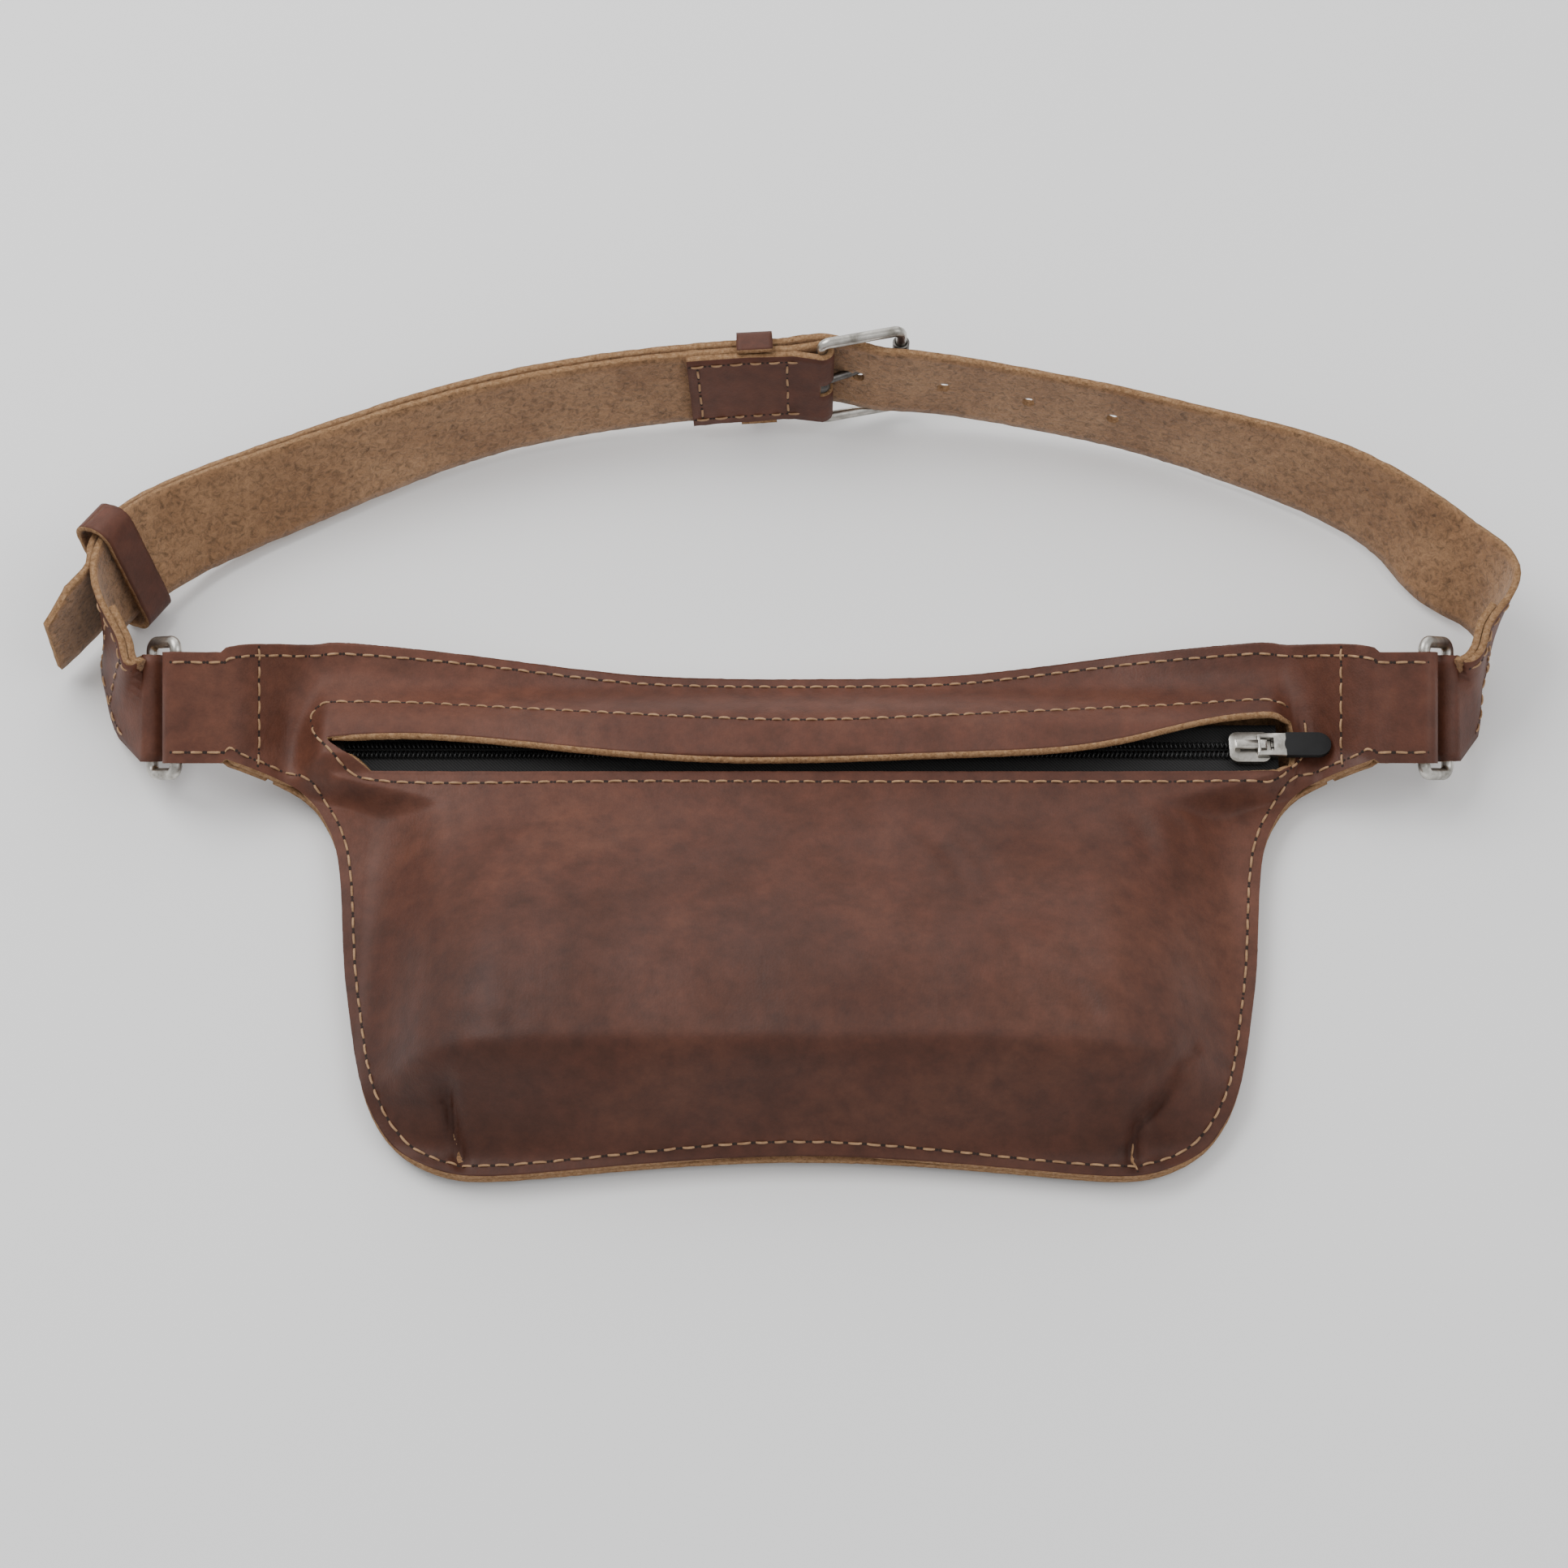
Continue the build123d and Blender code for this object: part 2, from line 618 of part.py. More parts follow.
def buckle_plane():
    """x from the heel bar to the front bar, y along the bars."""
    heel, across, _ = BELT.at(HEEL_S)
    front, _, _ = off_line(FRONT_S, FRONT_OFFSET)
    reach = front - heel
    reach = reach - across * reach.dot(across)
    return Plane(origin=heel, x_dir=reach, z_dir=reach.cross(across))


def buckle_frame():
    return wire_loop(buckle_plane(), BUCKLE_REACH, BUCKLE_INSIDE, BUCKLE_WIRE_R, BUCKLE_CORNER)


def buckle_roller():
    plane = buckle_plane()
    length = STRAP - 5.0
    tube = pin(ROLLER_R, length) - pin(BUCKLE_WIRE_R + RUN_CLEARANCE, length)
    return plane * Pos(BUCKLE_REACH, 0, 0) * tube


def prong_body(grow=0.0):
    """Hub round the heel bar and a tapered pin that rests on the roller."""
    plane = buckle_plane()
    rest = ROLLER_R + PRONG_TIP_R + 0.25
    sign = 1 if plane.z_dir.dot(BELT.at(HEEL_S)[2]) > 0 else -1
    angle = math.degrees(math.atan2(rest, BUCKLE_REACH)) * sign
    reach = BUCKLE_REACH + PRONG_OVER
    axis = plane * Rot(0, -angle, 0) * Pos(reach / 2 + 1.0, 0, 0) * Rot(0, 90, 0)
    shank = axis * Cone(PRONG_R + grow, PRONG_TIP_R + grow, reach - 2.0)
    if grow:
        return shank
    run = BUCKLE_WIRE_R + RUN_CLEARANCE
    hub = plane * pin(run + PRONG_HUB_WALL, PRONG_HUB_WIDTH)
    return shank + hub - plane * pin(run, 2 * PRONG_HUB_WIDTH)


# ------------------------------------------------------------------ keepers

def band(s, inner_low, inner_high, clear, width, closed=True):
    """Leather band round the strap: low and high are offsets along the belt's face."""
    centre, across, face = BELT.at(s)
    plane = Plane(origin=centre, x_dir=across, z_dir=across.cross(face))
    middle = (inner_low + inner_high) / 2
    tall = inner_high - inner_low + 2 * clear
    long = STRAP + 2 * clear
    inner = Pos(0, middle) * RectangleRounded(long, tall, min(tall / 2 - 0.1, 1.6))
    outer = Pos(0, middle) * RectangleRounded(
        long + 2 * KEEPER_THICK, tall + 2 * KEEPER_THICK, 2.6)
    ring_shape = plane * Pos(0, 0, -width / 2) * extrude(outer - inner, width)
    if closed:
        return ring_shape
    opening = plane * Pos(0, inner_low - 3.0, 0) * Box(80, 6.0, width + 2)
    return ring_shape - opening


def sliding_keeper():
    return band(KEEPER_S, PLY - LEATHER / 2, TAIL_OFFSET + LEATHER / 2, KEEPER_CLEAR,
                KEEPER_WIDTH)


def fixed_keeper():
    return band(FIXED_KEEPER_S, -PLY, TAIL_OFFSET + LEATHER / 2, 0.8, KEEPER_WIDTH, False)


# ------------------------------------------------------------------ threads

def lying_on(marks, offset):
    """Stations of thread on one face of the belt, offset being the ply's middle."""
    rise = LEATHER / 2 + 2 * GAP + THREAD_RISE / 2
    out = []
    for centre, across, face in ply_stations(marks, offset):
        out.append((centre + face * rise, across, face))
    return out


def cross_thread(stations):
    """Thread straight across the belt between two neighbouring stations."""
    middle = (stations[0][0] + stations[1][0]) / 2
    across = (stations[0][1] + stations[1][1]).normalized()
    plane = Plane(origin=middle, x_dir=across, z_dir=stations[0][2] + stations[1][2])
    return plane * Box(STRAP - 2 * SEAM_INSET - 2 * THREAD, THREAD, THREAD_RISE)


def doubled_thread(marks, seams, offset):
    """Both edge seams and the cross seams of a doubled stretch."""
    edge = STRAP / 2 - SEAM_INSET
    stations = lying_on(marks, offset)
    thread = strip(stations, THREAD, THREAD_RISE, 0.0, edge)
    thread += strip(stations, THREAD, THREAD_RISE, 0.0, -edge)
    for number in seams:
        thread += cross_thread(stations[number:number + 2])
    return thread


# ------------------------------------------------------------------ write the nodes

def build_all():
    save(front_panel(), "front_panel")
    save(back_panel(), "back_panel")
    zip_tapes()
    zip_coils()
    zip_stops()
    save(slider(), "zip_slider")
    save(pull_plate(), "zip_pull_plate")
    save(pull_tab(), "zip_pull_tab")
    save(ring(-1), "ring_left")
    save(ring(1), "ring_right")
    save(buckle_strap(), "buckle_strap")
    save(hole_strap(), "hole_strap")
    save(buckle_frame(), "buckle_frame")
    save(buckle_roller(), "buckle_roller")
    save(prong_body(), "buckle_prong")
    save(fixed_keeper(), "fixed_keeper")
    save(sliding_keeper(), "sliding_keeper")
    outer = [mark for mark in LEFT_MARKS if mark < RING_DOUBLED + 4]
    save(doubled_thread(outer, (1, len(outer) - 2), PLY), "ring_thread_left")
    end = BELT.length
    outer = [mark for mark in RIGHT_MARKS if mark > end - RING_DOUBLED - 4]
    save(doubled_thread(outer, (1, len(outer) - 2), PLY), "ring_thread_right")
    inner = HEEL_MARKS[1:]
    save(doubled_thread(inner, (1, len(inner) - 2), -PLY), "buckle_thread")


build_all()
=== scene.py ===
import math

import bmesh
import bpy
import numpy as np
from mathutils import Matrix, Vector, noise


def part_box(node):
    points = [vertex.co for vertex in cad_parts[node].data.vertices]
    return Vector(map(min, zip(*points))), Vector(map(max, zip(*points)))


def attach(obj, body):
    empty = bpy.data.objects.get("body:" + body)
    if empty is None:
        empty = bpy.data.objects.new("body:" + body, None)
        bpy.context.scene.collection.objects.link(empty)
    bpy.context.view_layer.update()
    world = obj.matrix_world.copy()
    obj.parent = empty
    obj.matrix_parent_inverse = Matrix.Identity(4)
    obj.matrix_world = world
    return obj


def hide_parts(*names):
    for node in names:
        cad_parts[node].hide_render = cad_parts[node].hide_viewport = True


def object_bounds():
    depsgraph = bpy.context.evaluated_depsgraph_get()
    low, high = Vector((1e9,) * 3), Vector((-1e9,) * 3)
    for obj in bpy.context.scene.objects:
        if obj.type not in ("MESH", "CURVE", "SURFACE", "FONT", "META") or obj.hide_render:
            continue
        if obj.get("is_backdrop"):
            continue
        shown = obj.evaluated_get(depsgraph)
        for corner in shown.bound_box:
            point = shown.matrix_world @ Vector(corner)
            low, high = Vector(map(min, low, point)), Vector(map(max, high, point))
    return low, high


# Leather waist pack with a buckled belt.  Shapes are worked out in millimetres and turned
# into metres when a mesh is made.

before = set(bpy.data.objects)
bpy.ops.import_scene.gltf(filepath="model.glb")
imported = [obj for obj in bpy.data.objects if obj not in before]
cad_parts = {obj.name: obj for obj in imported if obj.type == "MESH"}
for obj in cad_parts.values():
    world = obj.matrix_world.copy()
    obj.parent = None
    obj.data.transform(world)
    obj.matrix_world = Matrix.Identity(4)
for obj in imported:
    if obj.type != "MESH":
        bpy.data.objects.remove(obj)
START_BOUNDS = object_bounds()
MM = 0.001


def box_mm(node):
    low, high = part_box(node)
    return np.array(low) / MM, np.array(high) / MM


# ---- small maths ----

def smooth(x):
    x = np.clip(x, 0.0, 1.0)
    return x * x * (3.0 - 2.0 * x)


def unit(v):
    v = np.asarray(v, float)
    return v / np.maximum(np.linalg.norm(v, axis=-1, keepdims=True), 1e-9)


def wobble(points, scale, seed=0.0):
    """Smooth noise, about -1 to 1, at points in mm; scale is its feature size in mm."""
    flat = np.asarray(points, float).reshape(-1, 3) / scale + seed
    values = [noise.noise(Vector(p)) for p in flat]
    return np.array(values).reshape(np.asarray(points).shape[:-1])


class Spline:
    """Cubic spline through points; end slopes are given or left to the first two spans."""

    def __init__(self, knots, values, ends=None):
        self.x = np.asarray(knots, float)
        self.y = np.asarray(values, float)
        if self.y.ndim == 1:
            self.y = self.y[:, None]
        h = np.diff(self.x)
        slope = np.diff(self.y, axis=0) / h[:, None]
        n = len(self.x)
        if ends is None and n < 4:
            ends = (slope[0], slope[-1])
        a = np.zeros((n, n))
        b = np.zeros_like(self.y)
        for i in range(1, n - 1):
            a[i, i - 1] = h[i]
            a[i, i] = 2 * (h[i - 1] + h[i])
            a[i, i + 1] = h[i - 1]
            b[i] = 3 * (h[i] * slope[i - 1] + h[i - 1] * slope[i])
        if ends is None:
            d = h[0] + h[1]
            a[0, 0], a[0, 1] = h[1], d
            b[0] = ((h[0] + 2 * d) * h[1] * slope[0] + h[0] ** 2 * slope[1]) / d
            d = h[-1] + h[-2]
            a[-1, -1], a[-1, -2] = h[-2], d
            b[-1] = (h[-1] ** 2 * slope[-2] + (2 * d + h[-1]) * h[-2] * slope[-1]) / d
        else:
            a[0, 0] = a[-1, -1] = 1.0
            b[0], b[-1] = ends
        self.m = np.linalg.solve(a, b)

    def __call__(self, at, slope=False):
        at = np.atleast_1d(np.asarray(at, float))
        i = np.clip(np.searchsorted(self.x, at) - 1, 0, len(self.x) - 2)
        h = (self.x[i + 1] - self.x[i])[:, None]
        t = (at - self.x[i])[:, None] / h
        p, q, u, v = self.y[i], self.y[i + 1], self.m[i], self.m[i + 1]
        if slope:
            return ((6 * t * t - 6 * t) * p + (6 * t - 6 * t * t) * q) / h \
                + (3 * t * t - 4 * t + 1) * u + (3 * t * t - 2 * t) * v
        return (2 * t ** 3 - 3 * t * t + 1) * p + (3 * t * t - 2 * t ** 3) * q \
            + h * ((t ** 3 - 2 * t * t + t) * u + (t ** 3 - t * t) * v)


def through(points, step):
    """Points about step apart along a smooth line through the given ones."""
    points = np.asarray(points, float)
    gaps = np.sqrt(np.linalg.norm(np.diff(points, axis=0), axis=1))
    knots = np.concatenate([[0], np.cumsum(gaps)])
    line = Spline(knots, points)(np.linspace(0, knots[-1], 400))
    return even(line, step)


def even(line, step):
    length = np.concatenate([[0], np.cumsum(np.linalg.norm(np.diff(line, axis=0), axis=1))])
    count = max(2, int(round(length[-1] / step)) + 1)
    marks = np.linspace(0, length[-1], count)
    return np.stack([np.interp(marks, length, line[:, k]) for k in range(line.shape[1])], axis=1)


# ---- materials ----

def material(name, rough=0.6, metal=0.0):
    mat = bpy.data.materials.new(name)
    mat.use_nodes = True
    tree = mat.node_tree
    bsdf = tree.nodes["Principled BSDF"]
    bsdf.inputs["Roughness"].default_value = rough
    bsdf.inputs["Metallic"].default_value = metal
    return mat, tree, bsdf


def coords(tree, scale=(1, 1, 1)):
    tex = tree.nodes.new("ShaderNodeTexCoord")
    mapping = tree.nodes.new("ShaderNodeMapping")
    mapping.inputs["Scale"].default_value = scale
    tree.links.new(tex.outputs["Object"], mapping.inputs["Vector"])
    return mapping.outputs["Vector"]


def noise_node(tree, vector, scale, detail=4.0, rough=0.55, distortion=0.0):
    node = tree.nodes.new("ShaderNodeTexNoise")
    node.inputs["Scale"].default_value = scale
    node.inputs["Detail"].default_value = detail
    node.inputs["Roughness"].default_value = rough
    node.inputs["Distortion"].default_value = distortion
    tree.links.new(vector, node.inputs["Vector"])
    return node.outputs["Fac"]


def ramp(tree, factor, stops):
    node = tree.nodes.new("ShaderNodeValToRGB")
    while len(node.color_ramp.elements) < len(stops):
        node.color_ramp.elements.new(0.5)
    for element, (place, colour) in zip(node.color_ramp.elements, stops):
        element.position = place
        element.color = (*colour, 1.0) if len(colour) == 3 else (colour[0],) * 3 + (1.0,)
    tree.links.new(factor, node.inputs["Fac"])
    return node.outputs["Color"]


def mix(tree, factor, a, b, mode="MIX"):
    node = tree.nodes.new("ShaderNodeMix")
    node.data_type = "RGBA"
    node.blend_type = mode
    if isinstance(factor, float):
        node.inputs[0].default_value = factor
    else:
        tree.links.new(factor, node.inputs[0])
    tree.links.new(a, node.inputs[6])
    tree.links.new(b, node.inputs[7])
    return node.outputs[2]


def bump(tree, bsdf, height, strength, distance, before=None):
    node = tree.nodes.new("ShaderNodeBump")
    node.inputs["Strength"].default_value = strength
    node.inputs["Distance"].default_value = distance
    tree.links.new(height, node.inputs["Height"])
    if before is not None:
        tree.links.new(before, node.inputs["Normal"])
    tree.links.new(node.outputs["Normal"], bsdf.inputs["Normal"])
    return node.outputs["Normal"]


def smooth_leather():
    """Waxed brown leather: cloudy colour, fine pores, a little fine creasing, and painted light and shade
    that darkens it towards the bottom and lightens it towards the top.
    """
    mat, tree, bsdf = material("waxed_leather", 0.56)
    vector = coords(tree)
    clouds = ramp(tree, noise_node(tree, vector, 13, 5, 0.55, 0.6),
                  [(0.30, (0.052, 0.0158, 0.0082)), (0.50, (0.076, 0.0240, 0.0128)),
                   (0.72, (0.104, 0.037, 0.0210))])
    mottle = ramp(tree, noise_node(tree, vector, 150, 7, 0.7),
                  [(0.30, (0.66,)), (0.70, (1.30,))])
    colour = mix(tree, 0.9, clouds, mottle, "MULTIPLY")
    # painted light and shade: the leather colour is multiplied from 0.86 at the bottom of the pack up to
    # 1.14 at the top, by height in the object's y
    split = tree.nodes.new("ShaderNodeSeparateXYZ")
    tree.links.new(vector, split.inputs[0])
    height_for_painted_light = tree.nodes.new("ShaderNodeMapRange")
    height_for_painted_light.inputs["From Min"].default_value = -0.07
    height_for_painted_light.inputs["From Max"].default_value = 0.06
    tree.links.new(split.outputs["Y"], height_for_painted_light.inputs["Value"])
    painted_light_by_height = ramp(tree, height_for_painted_light.outputs["Result"], [(0.0, (0.86,)), (0.45, (0.98,)), (1.0, (1.14,))])
    colour = mix(tree, 1.0, colour, painted_light_by_height, "MULTIPLY")
    pores = tree.nodes.new("ShaderNodeTexVoronoi")
    pores.inputs["Scale"].default_value = 1500
    tree.links.new(vector, pores.inputs["Vector"])
    speck = ramp(tree, pores.outputs["Distance"], [(0.05, (0.72,)), (0.30, (1.0,))])
    tree.links.new(mix(tree, 0.35, colour, speck, "MULTIPLY"), bsdf.inputs["Base Color"])
    shine = ramp(tree, noise_node(tree, vector, 28, 4), [(0.3, (0.48,)), (0.7, (0.66,))])
    tree.links.new(shine, bsdf.inputs["Roughness"])
    bsdf.inputs["Specular IOR Level"].default_value = 0.32
    grain = bump(tree, bsdf, pores.outputs["Distance"], 0.16, 0.00022)
    creases = noise_node(tree, coords(tree, (1, 0.45, 1)), 210, 5, 0.6, 0.8)
    grain = bump(tree, bsdf, creases, 0.20, 0.0007, grain)
    bump(tree, bsdf, noise_node(tree, vector, 38, 4, 0.5), 0.20, 0.0022, grain)
    return mat


def suede():
    """Flesh side: tan brown, matt and fuzzy with darker specks."""
    mat, tree, bsdf = material("flesh_side", 0.95)
    vector = coords(tree)
    fuzz = noise_node(tree, vector, 520, 8, 0.8, 0.8)
    patches = ramp(tree, noise_node(tree, vector, 45, 5, 0.6),
                   [(0.3, (0.225, 0.116, 0.055)), (0.7, (0.345, 0.196, 0.100))])
    specks = ramp(tree, fuzz, [(0.36, (0.30,)), (0.50, (0.95,)), (0.66, (1.45,))])
    tree.links.new(mix(tree, 0.85, patches, specks, "MULTIPLY"), bsdf.inputs["Base Color"])
    bsdf.inputs["Specular IOR Level"].default_value = 0.15
    bsdf.inputs["Sheen Weight"].default_value = 0.25
    under = bump(tree, bsdf, noise_node(tree, vector, 230, 6, 0.7), 0.45, 0.0011)
    bump(tree, bsdf, fuzz, 0.6, 0.0007, under)
    return mat


def raw_edge():
    """Cut edge: pale tan fibres."""
    mat, tree, bsdf = material("raw_edge", 0.95)
    vector = coords(tree)
    fibres = noise_node(tree, vector, 900, 8, 0.8)
    colour = ramp(tree, fibres, [(0.32, (0.130, 0.066, 0.030)), (0.50, (0.300, 0.170, 0.085)),
                                 (0.66, (0.430, 0.270, 0.150))])
    tree.links.new(colour, bsdf.inputs["Base Color"])
    bsdf.inputs["Specular IOR Level"].default_value = 0.15
    bump(tree, bsdf, fibres, 0.7, 0.0008)
    return mat


def thread_material():
    mat, tree, bsdf = material("tan_thread", 0.72)
    vector = coords(tree)
    colour = ramp(tree, noise_node(tree, vector, 500, 4),
                  [(0.3, (0.24, 0.130, 0.062)), (0.7, (0.42, 0.250, 0.130))])
    tree.links.new(colour, bsdf.inputs["Base Color"])
    bump(tree, bsdf, noise_node(tree, vector, 2600, 3), 0.5, 0.0002)
    return mat


# painted shade: near-black colour that stands for the shade inside each needle hole
def hole_shade_material():
    mat, tree, bsdf = material("needle_hole_shade", 0.9)
    colour = ramp(tree, noise_node(tree, coords(tree), 900),
                  [(0.3, (0.010, 0.005, 0.003)), (0.7, (0.030, 0.014, 0.009))])
    tree.links.new(colour, bsdf.inputs["Base Color"])
    return mat


def metal(name, dark, light, rough):
    """Plated metal with worn, slightly stained patches and fine scratches."""
    mat, tree, bsdf = material(name, rough, 1.0)
    vector = coords(tree)
    wear = noise_node(tree, vector, 160, 6, 0.65, 0.4)
    tree.links.new(ramp(tree, wear, [(0.32, dark), (0.60, light)]), bsdf.inputs["Base Color"])
    tree.links.new(ramp(tree, wear, [(0.3, (rough + 0.16,)), (0.7, (rough - 0.06,))]),
                   bsdf.inputs["Roughness"])
    scratches = noise_node(tree, coords(tree, (1, 6, 1)), 1100, 4, 0.6)
    bump(tree, bsdf, scratches, 0.12, 0.0002)
    return mat


def tape_material():
    mat, tree, bsdf = material("black_tape", 0.85)
    weave = tree.nodes.new("ShaderNodeTexWave")
    weave.wave_type = "BANDS"
    weave.bands_direction = "DIAGONAL"
    weave.inputs["Scale"].default_value = 620
    weave.inputs["Distortion"].default_value = 0.6
    tree.links.new(coords(tree), weave.inputs["Vector"])
    colour = ramp(tree, weave.outputs["Fac"],
                  [(0.2, (0.004, 0.004, 0.004)), (0.8, (0.017, 0.016, 0.016))])
    tree.links.new(colour, bsdf.inputs["Base Color"])
    bump(tree, bsdf, weave.outputs["Fac"], 0.5, 0.0003)
    return mat


def plastic(name, colour, rough, grain):
    mat, tree, bsdf = material(name, rough)
    vector = coords(tree)
    bright = tuple(c * 1.7 for c in colour)
    tree.links.new(ramp(tree, noise_node(tree, vector, grain), [(0.35, colour), (0.7, bright)]),
                   bsdf.inputs["Base Color"])
    bsdf.inputs["Specular IOR Level"].default_value = 0.3
    bump(tree, bsdf, noise_node(tree, vector, grain * 6, 3), 0.15, 0.0001)
    return mat


GRAIN_SIDE = smooth_leather()
FLESH_SIDE = suede()
RAW_EDGE = raw_edge()
THREAD = thread_material()
HOLE_SHADE = hole_shade_material()
NICKEL = metal("worn_nickel", (0.20, 0.185, 0.16), (0.56, 0.54, 0.50), 0.30)
DARK_NICKEL = metal("dark_nickel", (0.045, 0.042, 0.04), (0.17, 0.16, 0.15), 0.34)
TAPE = tape_material()
NYLON = plastic("black_nylon", (0.009, 0.009, 0.009), 0.34, 300)
RUBBER = plastic("black_rubber", (0.0028, 0.0028, 0.0030), 0.62, 220)
LEATHERS = (GRAIN_SIDE, FLESH_SIDE, RAW_EDGE)


# ---- mesh making ----

def make(name, verts, faces, body, mats, smooth_faces=True):
    mesh = bpy.data.meshes.new(name)
    mesh.from_pydata((np.asarray(verts, float) * MM).tolist(), [], faces)
    mesh.validate()
    for mat in mats:
        mesh.materials.append(mat)
    for polygon in mesh.polygons:
        polygon.use_smooth = smooth_faces
    obj = bpy.data.objects.new(name, mesh)
    bpy.context.scene.collection.objects.link(obj)
    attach(obj, body)
    return obj


def grid_faces(rows, columns, skip=None):
    """Quads of a grid of rows x columns points; skip marks faces to leave out."""
    faces = []
    for i in range(rows - 1):
        for j in range(columns - 1):
            if skip is None or not skip[i][j]:
                a = i * columns + j
                faces.append((a, a + 1, a + columns + 1, a + columns))
    return faces


def tube_faces(rows, sides, first=0):
    """Quads of a tube of rows rings of sides points each, with both ends closed."""
    faces = []
    for i in range(rows - 1):
        a, b = first + i * sides, first + (i + 1) * sides
        for n in range(sides):
            m = (n + 1) % sides
            faces.append((a + n, a + m, b + m, b + n))
    last = first + (rows - 1) * sides
    faces.append(tuple(first + n for n in range(sides))[::-1])
    faces.append(tuple(last + n for n in range(sides)))
    return faces


def circle(sides):
    return [2 * math.pi * n / sides for n in range(sides)]


def bake(obj):
    """Turns modifiers into plain mesh."""
    graph = bpy.context.evaluated_depsgraph_get()
    mesh = bpy.data.meshes.new_from_object(obj.evaluated_get(graph))
    obj.modifiers.clear()
    obj.data = mesh


def thicken(obj, thick, offset):
    """Adds the other side and the cut edge to a sheet of leather."""
    solid = obj.modifiers.new("leather", "SOLIDIFY")
    solid.thickness = thick * MM
    solid.offset = offset
    solid.material_offset = 1
    solid.material_offset_rim = 2
    solid.use_even_offset = False


def fray(obj, amount):
    """Roughens the cut edges of baked leather."""
    mesh = obj.data
    moved = set()
    for polygon in mesh.polygons:
        if polygon.material_index == 2:
            moved.update(polygon.vertices)
    for index in moved:
        vertex = mesh.vertices[index]
        point = vertex.co / MM
        push = noise.noise(point * 1.1) + 0.6 * noise.noise(point * 2.7)
        lift = noise.noise(point * 1.6 + Vector((9, 4, 2)))
        vertex.co += (vertex.normal * push + Vector((0, 0, 1)) * lift * 0.4) * amount * MM


def finish_leather(obj, node, roughness=0.16):
    """Roughens the cut edges and puts the piece in the place of its CAD node."""
    fray(obj, roughness)
    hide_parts(node)


CAPSULE = [(-1.0, 0.10, -0.42), (-0.86, 0.33, -0.16), (-0.5, 0.40, 0.14), (0.0, 0.41, 0.22),
           (0.5, 0.40, 0.14), (0.86, 0.33, -0.16), (1.0, 0.10, -0.42)]   # along, radius, height


STITCH_PITCH = 4.9
STITCH_LENGTH = 3.6
STITCH_SIZE = 0.78
STITCH_SIDES = 8
SEAM_STEP = 0.5         # between the points that a seam is walked along


def stitch_verts(a, b, centre, up, tilt):
    """Rings of one stitch from a to b, bowed to pass centre, and its sideways direction."""
    along = b - a
    side = unit(np.cross(up, along))
    verts = []
    for t, radius, height in CAPSULE:
        spot = (a + b) / 2 + along * (t / 2) + side * tilt * t
        spot = spot + (centre - (a + b) / 2) * (1 - t * t) + up * (height + 0.12) * STITCH_SIZE
        for turn in circle(STITCH_SIDES):
            ring = side * math.cos(turn) * 1.12 + up * math.sin(turn)
            verts.append(spot + ring * radius * STITCH_SIZE)
    return verts, side


def needle_hole_shade(end, along, side, up, first, way):
    """Low cone, painted dark as the shade inside the needle hole, over the place where the thread goes
    in.
    """
    spot = end + along * way * 0.28 + up * 0.05
    verts = [spot + up * 0.06]
    for turn in circle(STITCH_SIDES):
        rim = along * math.cos(turn) * 0.62 + side * math.sin(turn) * 0.52
        verts.append(spot + rim * STITCH_SIZE)
    faces = [(first, first + 1 + n, first + 1 + (n + 1) % STITCH_SIDES)
             for n in range(STITCH_SIDES)]
    return verts, faces


def stitches(name, body, runs):
    """Rows of stitches; each run is a list of points with the surface's normals."""
    verts, faces, holes, hole_shade_faces = [], [], [], []
    for run_index, (points, normals) in enumerate(runs):
        both = even(np.hstack([np.asarray(points, float), np.asarray(normals, float)]), SEAM_STEP)
        total = (len(both) - 1) * SEAM_STEP
        count = max(1, int(total / STITCH_PITCH))
        for k in range(count):
            middle = (k + 0.5) * total / count
            half = STITCH_LENGTH / 2 * (1 + 0.07 * math.sin(7.3 * k + run_index))
            i = max(int((middle - half) / SEAM_STEP), 0)
            j = min(int((middle + half) / SEAM_STEP), len(both) - 1)
            a, b, centre = both[i, :3], both[j, :3], both[(i + j) // 2, :3]
            up = unit(both[(i + j) // 2, 3:])
            tilt = 0.10 * math.sin(3.1 * k + 2 * run_index)
            new, side = stitch_verts(a, b, centre, up, tilt)
            faces += tube_faces(len(CAPSULE), STITCH_SIDES, len(verts))
            verts += new
            along = unit(b - a)
            for end, way in ((a, -1), (b, 1)):
                new, new_faces = needle_hole_shade(end, along, side, up, len(holes), way)
                holes += new
                hole_shade_faces += new_faces
    make(name, verts, faces, body, [THREAD])
    # low cones painted dark as the shade of the needle holes
    make(name + "_holes", holes, hole_shade_faces, body, [HOLE_SHADE])


# ---- pack body ----

LEATHER = 2.0
TOP_Y, BOTTOM_Y = 73.4, -75.7
CROSS_SEAM_X, LOOP_X = 150.0, 160.0
WIRE_R, RUN = 1.7, 0.08
WING_TIP_X = float(box_mm("front_panel")[1][0])
BAR_X = WING_TIP_X - LEATHER - WIRE_R - RUN
TILT = math.radians(30)
ACROSS = np.array([0, math.cos(TILT), math.sin(TILT)])
FACE = np.array([0, -math.sin(TILT), math.cos(TILT)])
WING_MIDDLE = (52.3, 23.0)
TOP_EDGE = [(0, TOP_Y), (27, 73.7), (50, 75.1), (73, 78.0), (96, 79.3), (125, 78.6), (140, 76.3),
            (150, 70.6), (160, 65.8)]
WING_WIDTH = 31.0
SEAM_INSET = 3.0                        # seam to outline, at the bottom and sides
TOP_SEAM_INSET = 2.9
